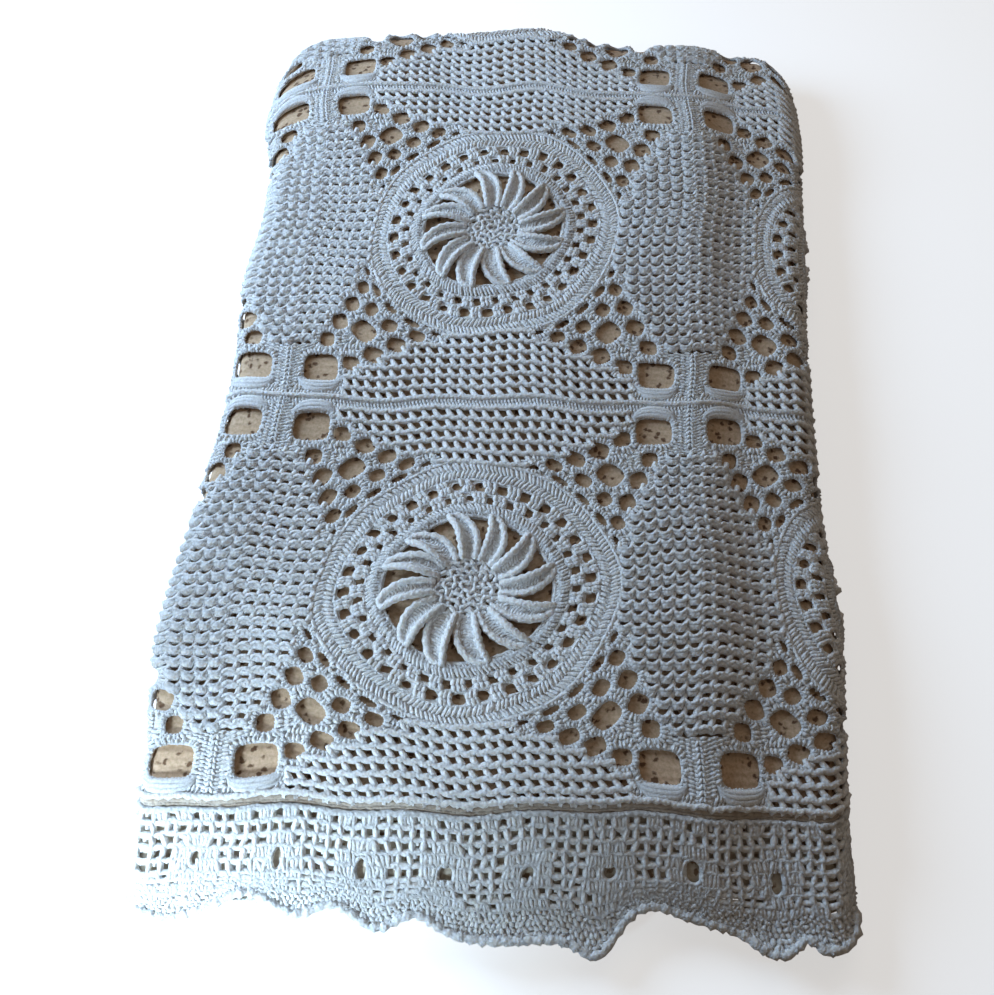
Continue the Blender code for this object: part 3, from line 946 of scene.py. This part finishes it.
def petalPoint(shape, s, t):
    # s from the disc to the tip, t from one edge to the other, -1 to 1
    fullness = math.sin(math.pi * min(1.0, petal["bellyEnd"] * s + petal["bellyStart"])) ** 1.2
    half = 0.5 * shape["wide"] * (petal["waist"] + petal["belly"] * fullness)
    turn = shape["angle"] + math.radians(petal["swirl"]) * (s * s - petal["swirlStart"])
    radius = petal["inner"] + s * (petal["outer"] - petal["inner"])
    crown = math.sin(math.pi * min(1.0, 0.06 + 0.9 * s))
    lift = 0.5 + petal["crown"] * crown + (shape["cup"] * t * t + shape["tilt"] * t) * crown
    return (radius * math.cos(turn) - half * t * math.sin(turn),
            radius * math.sin(turn) + half * t * math.cos(turn), lift)


def petalStrands(shapes, rng):
    strands = []
    sides = np.linspace(0, 0.93, petal["sideSteps"])
    places = [(s, 1.0) for s in sides] + petal["tip"] + [(s, -1.0) for s in sides[::-1]]
    rib, ribEdge = petal["rib"], petal["ribEdge"]
    for shape in shapes:
        rows = []
        for k, (s, t) in enumerate(places):
            u, v, c = petalPoint(shape, s, t)
            rows.append((u, v, c + 0.4 + 0.3 * (k % 2),
                         petal["rim"] * (1.12 if k % 2 else 0.84) + rng.normal(0, 0.08)))
        strands.append(ropeStrand(rows))
        for s in np.linspace(0.05, 0.95, petal["ribs"]):
            line = [petalPoint(shape, min(1.0, s + 0.05 * abs(t)), 0.92 * t)
                    for t in (-1.0, -0.5, 0.0, 0.5, 1.0)]
            strands.append(strand([(u, v, c - 0.1 + rng.normal(0, 0.2)) for u, v, c in line],
                                  (ribEdge, rib, ribEdge, rib, ribEdge)))
    return strands


# how far each shown square's flower lies off the square's middle, in millimetres
flowerShifts = table("column row u v", (0, 0, 2.0, -2.0), (0, 1, 1.0, 1.5), (1, 0, 0.5, -3.5),
                     (1, 1, -6.0, 2.5), (2, 0, -1.0, 1.0), (2, 1, 0.0, -1.5))


def onSquare(local, column, row):
    # local rows (u, v, c) in millimetres to flat rows (a, b, c) in metres
    shift = [item for item in flowerShifts if item["column"] == column and item["row"] == row]
    du, dv = (shift[0]["u"], shift[0]["v"]) if shift else (0.0, 0.0)
    reach = np.maximum(np.abs(local[:, 0]), np.abs(local[:, 1])) / square["half"]
    free = 1 - np.clip(reach, 0, 1) ** 3
    flat = np.empty_like(local)
    flat[:, 0] = spread["edging"] + (column + 0.5) * spread["square"] + (local[:, 0] + du * free) / 1000
    flat[:, 1] = spread["edging"] + (row + 0.5) * spread["square"] + (local[:, 1] + dv * free) / 1000
    flat[:, 2] = local[:, 2] / 1000
    return flat


def cutStrand(points, radii, closed, inside):
    if inside.all():
        return [(points, radii, closed)]
    if closed:  # start where the loop leaves the kept part
        turn = int(np.argmin(inside))
        points, radii, inside = (np.roll(x, -turn, axis=0) for x in (points, radii, inside))
    return [(points[first:last], radii[first:last], False)
            for first, last in openRuns(list(inside)) if last - first > 1]


def keptSquares(points, keep, columns=everyColumn):
    # one square's points on every square that shows some of them, and which of them it keeps
    for column in columns:
        for row in range(spread["squaresAlong"]):
            flat = onSquare(points, column, row)
            inside = keep(flat[:, 0], flat[:, 1])
            if inside.any():
                yield flat, inside


def everySquare(template, keep, columns=everyColumn):
    placed = []
    ends = np.cumsum([len(item[0]) for item in template])
    starts = np.concatenate([[0], ends[:-1]])
    for flat, inside in keptSquares(np.concatenate([item[0] for item in template]), keep, columns):
        for item, start, end in zip(template, starts, ends):
            if inside[start:end].any():
                placed += cutStrand(flat[start:end], item[1], item[2], inside[start:end])
    return placed


def keepTop(a, b):
    lowFold = underneath(a, b) & (a < shown["underEnd"])
    return (onTop(a, b) | onFarFolds(a, b) | lowFold) & inSquares(a, b)


def keepUnder(a, b):
    return underneath(a, b) & (a >= shown["underEnd"] - shown["underLap"]) & inSquares(a, b)


# the solid crochet under the stitches, open at every hole; its cut edge is drawn to each hole's outline
ground = {"fine": 3, "under": -0.25, "openingRoom": 0.5, "pullIn": -2.4, "pullOut": 1.2, "middle": 0.2,
          "edge": 0.5, "smallCell": (0.3, 0.7)}


def groundTemplate(smallCells):
    # one square's faces; small cells leave more cloth round them
    count = square["cells"] * ground["fine"]
    template = bmesh.new()
    bmesh.ops.create_grid(template, x_segments=count, y_segments=count, size=square["half"])
    centres = np.array([face.calc_center_median() for face in template.faces])
    u, v = centres[:, 0], centres[:, 1]
    holes = cornerGaps + ringGaps + discGaps
    far = np.hypot(u, v)
    cells = openCell(u, v)
    if smallCells:
        for place in (u, v):
            share = (place / pitch) % 1.0
            cells &= (share > ground["smallCell"][0]) & (share < ground["smallCell"][1])
    unwanted = ((holeDistance(u, v, holes) < 0) | cells
                | ((far > square["disc"]) & (far < square["opening"] - ground["openingRoom"])))
    faces = list(template.faces)
    bmesh.ops.delete(template, geom=[faces[i] for i in np.nonzero(unwanted)[0]], context="FACES")
    points = np.array([vert.co for vert in template.verts])
    for hole in holes:
        size, reach = holeSize(points[:, 0], points[:, 1], hole)
        off = offEdge(size, reach)
        near = (off > ground["pullIn"]) & (off < ground["pullOut"]) & (size > ground["middle"])
        share = ((ground["edge"] - off[near]) / np.maximum(reach[near], 0.5))[:, None]
        points[near, :2] += (points[near, :2] - (hole["u"], hole["v"])) * share
    points[:, 2] = ground["under"]
    return template, points


def groundSheet(name, keep, material, smallCells=False):
    template, points = groundTemplate(smallCells)
    joined = bmesh.new()
    for flat, inside in keptSquares(points, keep):
        part = template.copy()
        part.verts.ensure_lookup_table()
        for vert, point in zip(part.verts, aboveFloor(fold(flat), spread["floorRoom"])):
            vert.co = point
        part.verts.index_update()
        outside = [face for face in part.faces if not all(inside[vert.index] for vert in face.verts)]
        bmesh.ops.delete(part, geom=outside, context="FACES")
        scrap = bpy.data.meshes.new("scrap")
        part.to_mesh(scrap)
        joined.from_mesh(scrap)
        part.free()
        bpy.data.meshes.remove(scrap)
    template.free()
    return sheetPiece(name, joined, material)


def sheetPiece(name, grid, material):
    mesh = bpy.data.meshes.new(name)
    grid.to_mesh(mesh)
    grid.free()
    mesh.shade_smooth()
    return addPiece(name, mesh, material)


rng = np.random.default_rng(11)
sideTemplate = sideMeshStrands(1, sideMesh, rng) + sideMeshStrands(3, sideMesh, rng)
tightTemplate = sideMeshStrands(1, tightSideMesh, rng) + sideMeshStrands(3, tightSideMesh, rng)
endTemplate = endMeshStrands(0, rng) + endMeshStrands(2, rng)
rimTemplate = rimStrands(rng)
ringTemplate = ringStrands(rng) + discStrands(rng)
fillTemplate = fillStitches(rng) + seamStrands(rng)
petalTemplate = petalStrands([petalFrame(k, rng) for k in range(petal["count"])], rng)
print("pattern ready")

pieces = [
    makeStrands("sideMesh", everySquare(tightTemplate, keepTop, everyColumn[:1])
                + everySquare(sideTemplate, keepTop, everyColumn[1:]), yarn),
]
for name, template, material, sides in (
        ("endMesh", endTemplate, yarn, 6), ("holeEdges", rimTemplate, yarn, 4),
        ("paddedCords", paddedCords(), cordYarn, 8), ("flowerRings", ringTemplate, yarn, 6),
        ("solidStitches", fillTemplate, yarn, 4), ("petals", petalTemplate, yarn, 6)):
    pieces.append(makeStrands(name, everySquare(template, keepTop), material, sides))
pieces.append(groundSheet("groundCloth", keepTop, yarn))
pieces.append(groundSheet("undersideCloth", keepUnder, yarn, True))
underFlowers = everySquare(ringLines() + petalTemplate + paddedCords(), keepUnder)
pieces.append(makeStrands("undersideFlowers", underFlowers, yarn, 4))


# the edging: filet cells with solid blocks, and a scalloped border
lace = {
    "cell": 6.4, "rows": 8, "top": 5.4, "repeat": 7, "chain": 1.85, "post": 1.9, "solidPost": 1.75,
    "rim": 3.1, "borderStitch": 3.0, "borderRows": 6, "stitchLong": 4.4, "stitch": 1.75, "depth": 78.0,
    "eyeColumn": 5.0, "firstEye": 7, "eyeRim": 0.9, "eyeThick": 1.5, "eyePower": 2.6, "endRoom": 8,
    "halfClosed": 0.3, "solidPosts": (0.0, 2.15, 4.3), "groundRows": 24, "groundTop": 3.4,
    "rimStep": 2.1, "rimIn": 1.8, "seamStep": 2.5, "seamDown": 4.9,
}
# the larger hole in the middle of each motif, from the left; down is in cells
laceEyes = table("wide high down", (5.4, 8.0, 3.9), (5.2, 11.0, 4.0), (5.8, 12.0, 4.3), (8.4, 10.6, 4.6),
                 (7.8, 8.6, 4.8), (7.6, 7.6, 4.3), (9.4, 11.4, 4.0), (7.2, 14.0, 4.8))
# the lone open cells of a motif: (column, row)
laneCells = ((3, 2), (6, 2), (3, 6), (6, 6), (0, 7), (2, 7))


def edgeInset(a):
    # where the outer edge lies, as b in metres
    x = a - acrossRuns[2]["from"] + spread["leftFoldX"]
    held = np.clip(x, nearScallops[0]["x"], nearScallops[-1]["x"])
    return np.maximum(readTable(nearScallops, "x", "inset", held), 0.0)


def onLace(points):
    # points: (a, d, c) in millimetres, d below the seam on the even lace; the border follows the edge
    a = points[:, 0] / 1000
    b = spread["edging"] - points[:, 1] / 1000
    low = spread["scallopRow"]
    inset = edgeInset(a)
    b = np.where(b < low, inset + b / low * (low - inset), b)
    return np.stack([a, b, points[:, 2] / 1000], axis=1)


def laceStrand(points, radii, closed=False):
    return strand(onLace(np.array(points, float)), radii, closed)


def laceOpen(column, row):
    column = column % lace["repeat"]
    if row < 0 or row >= lace["rows"]:
        return False
    if row == 0:
        return column % 2 == 0
    return row == 1 or (column < 3 and row < lace["rows"] - 1) or (column, row) in laneCells


def eyeOf(repeat):
    # an eye's sizes, and where its middle lies
    eye = laceEyes[(repeat - lace["firstEye"]) % len(laceEyes)]
    return (eye, (repeat * lace["repeat"] + lace["eyeColumn"]) * lace["cell"],
            lace["top"] + eye["down"] * lace["cell"])


def inEye(p, d, grow=0.0):
    cell = lace["cell"]
    eye, middle, low = eyeOf(round((p / cell - lace["eyeColumn"]) / lace["repeat"]))
    return ((abs(p - middle) / (eye["wide"] / 2 + grow)) ** lace["eyePower"]
            + (abs(d - low) / (eye["high"] / 2 + grow)) ** lace["eyePower"]) < 1


laceFirst = int(math.ceil(shown["left"] * 1000 / lace["cell"]))
laceLast = int(math.floor(shown["right"] * 1000 / lace["cell"]))
laceLeft = laceFirst * lace["cell"]
laceRight = laceLast * lace["cell"]


def laceChains(rng):
    strands = []
    places = np.linspace(laceLeft, laceRight, (laceLast - laceFirst) * 2 + 1)
    for row in range(lace["rows"] + 1):
        d = lace["top"] + row * lace["cell"]
        points = [(p, d + rng.normal(0, 0.45), 0.1 + 0.3 * (k % 2)) for k, p in enumerate(places)]
        for start, end in openRuns([not inEye(p, d, 0.8) for p in places]):
            if end - start > 1:
                radii = [lace["chain"] + 0.3 * (k % 2) + rng.normal(0, 0.15) for k in range(end - start)]
                strands.append(laceStrand(points[start:end], radii))
    return strands


def lacePosts(rng):
    strands = []
    cell = lace["cell"]
    for row in range(lace["rows"]):
        top = lace["top"] + row * cell
        for column in range(laceFirst, laceLast):
            isOpen = laceOpen(column, row)
            for offset in lace["solidPosts"][:1 if isOpen else None]:
                p = column * cell + offset + rng.normal(0, 0.4)
                if inEye(p, top + cell / 2, 0.4):
                    continue
                lean = rng.normal(0.3, 0.6)
                thick = (lace["post"] if isOpen else lace["solidPost"]) + rng.normal(0, 0.2)
                points = [(p - lean, top + 0.1, 0.4), (p, top + cell / 2 + rng.normal(0, 0.4), 0.75),
                          (p + lean, top + cell - 0.1, 0.4)]
                strands.append(laceStrand(points, (0.92 * thick, thick, 0.92 * thick)))
            if isOpen and rng.random() < lace["halfClosed"]:  # a stitch that half closes the cell
                p = column * cell + cell / 2 + rng.normal(0, 0.8)
                points = [(p, top, 0.2), (p + 0.4, top + 3.0 + rng.normal(0, 0.8), 0.2)]
                strands.append(laceStrand(points, (1.4, 1.2)))
    return strands


def laceEyeRims():
    strands = []
    out = lace["eyeRim"]
    for repeat in range(laceFirst // lace["repeat"], laceLast // lace["repeat"] + 1):
        eye, middle, low = eyeOf(repeat)
        if laceLeft + lace["endRoom"] < middle < laceRight - lace["endRoom"]:
            wide, high = eye["wide"] / 2 + out, eye["high"] / 2 + out
            rim = [(middle + wide * math.cos(t), low + high * math.sin(t), 0.5)
                   for t in np.linspace(0, 2 * math.pi, 17)[:-1]]
            strands.append(laceStrand(rim, lace["eyeThick"], True))
    return strands


def laceBorder(rng):
    # a knobbly border of short stitches that lean all ways, with a thick rim, and the seam's chain
    strands = []
    top = lace["top"] + lace["rows"] * lace["cell"]
    rows = lace["borderRows"]
    for p in np.arange(laceLeft, laceRight, lace["borderStitch"]):
        for part in range(rows):
            low = top + (lace["depth"] - top) * (part + 0.5) / rows + rng.normal(0, 0.4)
            slip = 0.5 * lace["borderStitch"] * (part % 2) + rng.normal(0, 0.4)
            heading = rng.normal(0.3, 0.55)
            points = leaningStitch((p + slip, low), lace["stitchLong"], heading,
                                   (0.2, 1.3 + rng.normal(0, 0.3), 0.3))
            strands.append(laceStrand(points, (1.2, lace["stitch"], 1.2)))
    fine = np.arange(laceLeft, laceRight, lace["rimStep"])
    rim = [(p, lace["depth"] - lace["rimIn"] + 0.5 * math.sin(p * 0.9), 0.7 + 0.5 * math.sin(p * 1.3))
           for p in fine]
    thick = [lace["rim"] + 0.7 * math.sin(p * 1.05) + rng.normal(0, 0.2) for p in fine]
    strands.append(laceStrand(rim, thick))
    chain = [(p, lace["seamDown"] + 0.8 * (k % 2), 0.6 + 0.6 * (k % 2))
             for k, p in enumerate(np.arange(laceLeft, laceRight, lace["seamStep"]))]
    strands.append(laceStrand(chain, [1.6 + 0.4 * (k % 2) for k in range(len(chain))]))
    return strands


def laceGround():
    # the solid crochet under the edging's stitches, open at its cells
    cell, rows = lace["cell"], lace["groundRows"]
    columns = (laceLast - laceFirst) * 2
    grid = bmesh.new()
    bmesh.ops.create_grid(grid, x_segments=columns, y_segments=rows, size=0.5)
    downs = [lace["groundTop"]] + [lace["top"] + k * cell / 2 for k in range(2 * lace["rows"] + 1)]
    rest = rows + 1 - len(downs)
    downs += [downs[-1] + (lace["depth"] - 0.8 - downs[-1]) * (k + 1) / rest for k in range(rest)]
    for vert in grid.verts:
        i = round((vert.co.x + 0.5) * columns)
        j = round((vert.co.y + 0.5) * rows)
        vert.co = (laceLeft + i * cell / 2, downs[rows - j], -0.3)
    unwanted = []
    for face in grid.faces:
        p, d = face.calc_center_median()[:2]
        if laceOpen(math.floor(p / cell), math.floor((d - lace["top"]) / cell)) or inEye(p, d):
            unwanted.append(face)
    bmesh.ops.delete(grid, geom=unwanted, context="FACES")
    flat = onLace(np.array([vert.co for vert in grid.verts]))
    for vert, point in zip(grid.verts, fold(flat)):
        vert.co = point
    return sheetPiece("laceGround", grid, laceYarn)


# the squares' last row stands proud over the edging; brown strands sunk in the join are painted shadow in its
# groove
seam = {"step": 0.0026, "out": 0.0022, "lift": 0.0016, "uneven": 0.0004, "thick": 1.5, "knob": 0.6}
seamShadowLines = table("inset low thick", (0.0010, 0.0009, 2.1), (0.0031, 0.0008, 1.4))
seamShadowStep = 0.0030


def seamRim(rng):
    places = np.arange(shown["left"], shown["right"], seam["step"])
    odd = np.arange(len(places)) % 2
    flat = np.stack([places, spread["edging"] + seam["out"] + rng.normal(0, seam["uneven"], len(places)),
                     seam["lift"] + 0.0005 * odd], axis=1)
    return [strand(flat, seam["thick"] + seam["knob"] * odd)]


def seamShadowStrands(rng):
    strands = []
    places = np.arange(shown["left"], shown["right"], seamShadowStep)
    for row in seamShadowLines:
        flat = np.stack([places, spread["edging"] - row["inset"] + rng.normal(0, 0.0003, len(places)),
                         np.full(len(places), -row["low"])], axis=1)
        strands.append(strand(flat, row["thick"] + 0.15 * (np.arange(len(places)) % 2)))
    return strands


# the edging elsewhere: knobbly stitches round the far folds, and a rope along the free edges
plain = {"edgeRoom": 0.005, "rowStep": 0.0034, "step": 0.0026, "stitch": 0.0042, "lift": 0.0007, "thick": 1.7,
         "rope": 1.3, "knob": 0.5, "ropeRoom": 0.001, "endRoom": 0.002}


def farEdgingStitches(rng):
    strands = []
    width = spread["width"]
    rows = np.arange(shown["far"] - shown["farRoom"], shown["farEnd"] + shown["farRoom"], plain["rowStep"])
    for start, end in ((plain["edgeRoom"], spread["edging"]),
                       (width - spread["edging"], width - plain["edgeRoom"])):
        for b in rows:
            for a in np.arange(start, end, plain["step"]):
                heading = rng.normal(0, 0.7)
                middle = (a + rng.normal(0, 0.0004), b + rng.normal(0, 0.0004))
                points = leaningStitch(middle, plain["stitch"], heading, (0.0, plain["lift"], 0.0))
                strands.append(strand(points, (1.2, plain["thick"], 1.2)))
    return strands


def freeRims(rng):
    strands = []
    inset = spread["plainInset"] + plain["ropeRoom"]
    alongEdge = np.arange(inset, spread["length"] - inset, plain["step"])
    nearLeft = np.arange(inset, shown["left"] - plain["endRoom"], plain["step"])
    nearRight = np.arange(shown["right"] + plain["endRoom"], spread["width"] - inset, plain["step"])
    for a, b in ((inset, alongEdge), (spread["width"] - inset, alongEdge), (nearLeft, inset),
                 (nearRight, inset)):
        count = max(np.size(a), np.size(b))
        odd = np.arange(count) % 2
        points = np.stack([a + rng.normal(0, 0.0003, count), b + rng.normal(0, 0.0003, count),
                           0.0002 * odd], axis=1)
        strands.append(strand(points, plain["rope"] + plain["knob"] * odd))
    return strands


laceTemplate = laceChains(rng) + lacePosts(rng) + laceEyeRims() + laceBorder(rng)
pieces.append(makeStrands("edgingLace", laceTemplate, laceYarn, 4))
pieces.append(makeStrands("edgingFolds", farEdgingStitches(rng) + freeRims(rng), laceYarn, 4))
pieces.append(laceGround())
pieces.append(makeStrands("seamRim", seamRim(rng), yarn, 6))
pieces.append(makeStrands("seamShadowStrands", seamShadowStrands(rng), brownYarn, 6))
print("strands ready")


# hidden layers: a thin sheet for each cloth on all its folds, coloured with painted shade; the edging's is
# open under its own lace
inner = {"straightStep": 0.012, "acrossArc": 0.003, "alongArc": 0.002, "apart": 0.0012,
         "foldRoom": 0.004, "laceRoom": 0.012, "behind": -0.0026}


def foldStations(path, arcStep):
    found = []
    for run in path:
        count = max(2, int(math.ceil(run["length"] / (arcStep if run["turn"] else inner["straightStep"]))))
        found += [run["from"] + run["length"] * k / count for k in range(count)]
    return found + [path[-1]["from"] + path[-1]["length"]]


def insideStations(stations, start, end, fixed):
    kept = [start, end] + [s for s in fixed if start < s < end]
    for s in stations:
        if start < s < end and min(abs(s - other) for other in kept) > inner["apart"]:
            kept.append(s)
    return sorted(kept)


def closeBehind(a, b):
    # under the outer layer the next one is pressed up to it
    onSheet = onTop(a, b) & (b > edgeInset(a) + inner["laceRoom"])
    return onSheet | onFarFolds(a, b, inner["foldRoom"]) | underneath(a, b)


def flatSheet(name, across, along, drop, material, elsewhere):
    # material: under the top cloth; elsewhere: on the other layers
    grid = bmesh.new()
    bmesh.ops.create_grid(grid, x_segments=len(across) - 1, y_segments=len(along) - 1, size=0.5)
    for vert in grid.verts:
        vert.co.x = across[round((vert.co.x + 0.5) * (len(across) - 1))]
        vert.co.y = along[round((vert.co.y + 0.5) * (len(along) - 1))]
        vert.co.z = 0.0
    unwanted = [face for face in grid.faces if drop(*face.calc_center_median()[:2])]
    bmesh.ops.delete(grid, geom=unwanted, context="FACES")
    flat = np.array([vert.co for vert in grid.verts])
    flat[closeBehind(flat[:, 0], flat[:, 1] + inner["foldRoom"]), 2] = inner["behind"]
    layer = grid.loops.layers.uv.new("flatCloth")
    for face in grid.faces:
        middle = face.calc_center_median()
        face.material_index = 0 if onTop(middle.x, middle.y) else 1
        for loop in face.loops:
            loop[layer].uv = (loop.vert.co.x, loop.vert.co.y)
    for vert, point in zip(grid.verts, aboveFloor(fold(flat), spread["floorRoom"])):
        vert.co = point
    piece = sheetPiece(name, grid, material)
    piece.data.materials.append(elsewhere)
    return piece


def dropSquares(a, b):
    # what the edging's sheet leaves out: the squares, and the top cloth where its own lace lies
    return bool(inSquares(a, b) or (onTop(a, b) and not closeBehind(a, b)))


def dropNothing(a, b):
    return False


acrossStations = foldStations(acrossRuns, inner["acrossArc"])
alongStations = foldStations(alongRuns, inner["alongArc"])
# where the squares start and end, and where the edging's hidden sheet does
squaresEnds = [(spread["edging"], total - spread["edging"]) for total in (spread["width"], spread["length"])]
clothEnds = [(spread["plainInset"], total - spread["plainInset"])
             for total in (spread["width"], spread["length"])]
shownAcross = (shown["left"], shown["right"])
innerSquares = flatSheet(
    "innerSquares", insideStations(acrossStations, *squaresEnds[0], shownAcross),
    insideStations(alongStations, *squaresEnds[1], (shown["far"], shown["farEnd"])),
    dropNothing, hiddenCloth, hiddenCloth)
innerEdging = flatSheet(
    "innerEdging", insideStations(acrossStations, *clothEnds[0], squaresEnds[0] + shownAcross),
    insideStations(alongStations, *clothEnds[1], squaresEnds[1]),
    dropSquares, edgingClothShade, filetClothShade)
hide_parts("joined_squares")
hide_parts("lace_edging")
print("hidden layers ready")

# floor, light and camera
stage = {"floorSize": 6.0, "floor": (0.93, 0.93, 0.935), "floorRoughness": 0.9, "glow": 0.55,
         "room": (1.0, 0.82, 0.65), "roomStrength": 0.10}
lights = table(
    "name place target size power colour beam",
    ("windowLeft", (-0.68, 0.20, 0.42), (0.0, 0.04, 0.03), 0.50, 8.0, (0.54, 0.75, 1.0), 180),
    ("ceiling", (0.14, 0.78, 1.26), (0.0, 0.0, 0.0), 1.20, 2.1, (1.0, 0.93, 0.86), 180),
    ("lampNear", (-0.52, -0.74, 0.34), (-0.20, -0.37, 0.02), 0.14, 0.42, (0.62, 0.82, 1.0), 29),
)
view = {"sensor": 36.0, "lens": 35.312561, "place": (0.0047, -0.3521, 0.598), "down": 64.07,
        "turn": 3.3}


def makeFloor():
    grid = bmesh.new()
    bmesh.ops.create_grid(grid, x_segments=1, y_segments=1, size=stage["floorSize"] / 2)
    mesh = bpy.data.meshes.new("floor")
    grid.to_mesh(mesh)
    grid.free()
    material = bpy.data.materials.new("paleFloor")
    material.use_nodes = True
    shader = material.node_tree.nodes["Principled BSDF"]
    shader.inputs["Base Color"].default_value = (*stage["floor"], 1.0)
    shader.inputs["Roughness"].default_value = stage["floorRoughness"]
    shader.inputs["Emission Color"].default_value = (1.0, 1.0, 1.0, 1.0)
    shader.inputs["Emission Strength"].default_value = stage["glow"]
    mesh.materials.append(material)
    floor = bpy.data.objects.new("floor", mesh)
    bpy.context.scene.collection.objects.link(floor)
    floor.visible_diffuse = False


def makeLight(name, place, target, size, power, colour, beam):
    light = bpy.data.lights.new(name, "AREA")
    light.spread = math.radians(beam)
    light.shape = "DISK"
    light.size = size
    light.energy = power
    light.color = colour
    lamp = bpy.data.objects.new(name, light)
    lamp.location = place
    lamp.rotation_euler = (Vector(target) - Vector(place)).to_track_quat("-Z", "Y").to_euler()
    bpy.context.scene.collection.objects.link(lamp)


def makeWorld():
    world = bpy.data.worlds.new("softRoom")
    world.use_nodes = True
    back = world.node_tree.nodes["Background"]
    back.inputs["Color"].default_value = (*stage["room"], 1.0)
    back.inputs["Strength"].default_value = stage["roomStrength"]
    bpy.context.scene.world = world


def makeCamera():
    lens = bpy.data.cameras.new("camera")
    lens.sensor_width = view["sensor"]
    lens.lens = view["lens"]
    camera = bpy.data.objects.new("camera", lens)
    camera.location = view["place"]
    camera.rotation_euler = (math.radians(90 - view["down"]), 0.0, math.radians(view["turn"]))
    bpy.context.scene.collection.objects.link(camera)
    bpy.context.scene.camera = camera


makeFloor()
for row in lights:
    makeLight(**row)
makeWorld()
makeCamera()
bpy.context.scene.view_settings.view_transform = "Standard"
print("floor, light and camera ready")
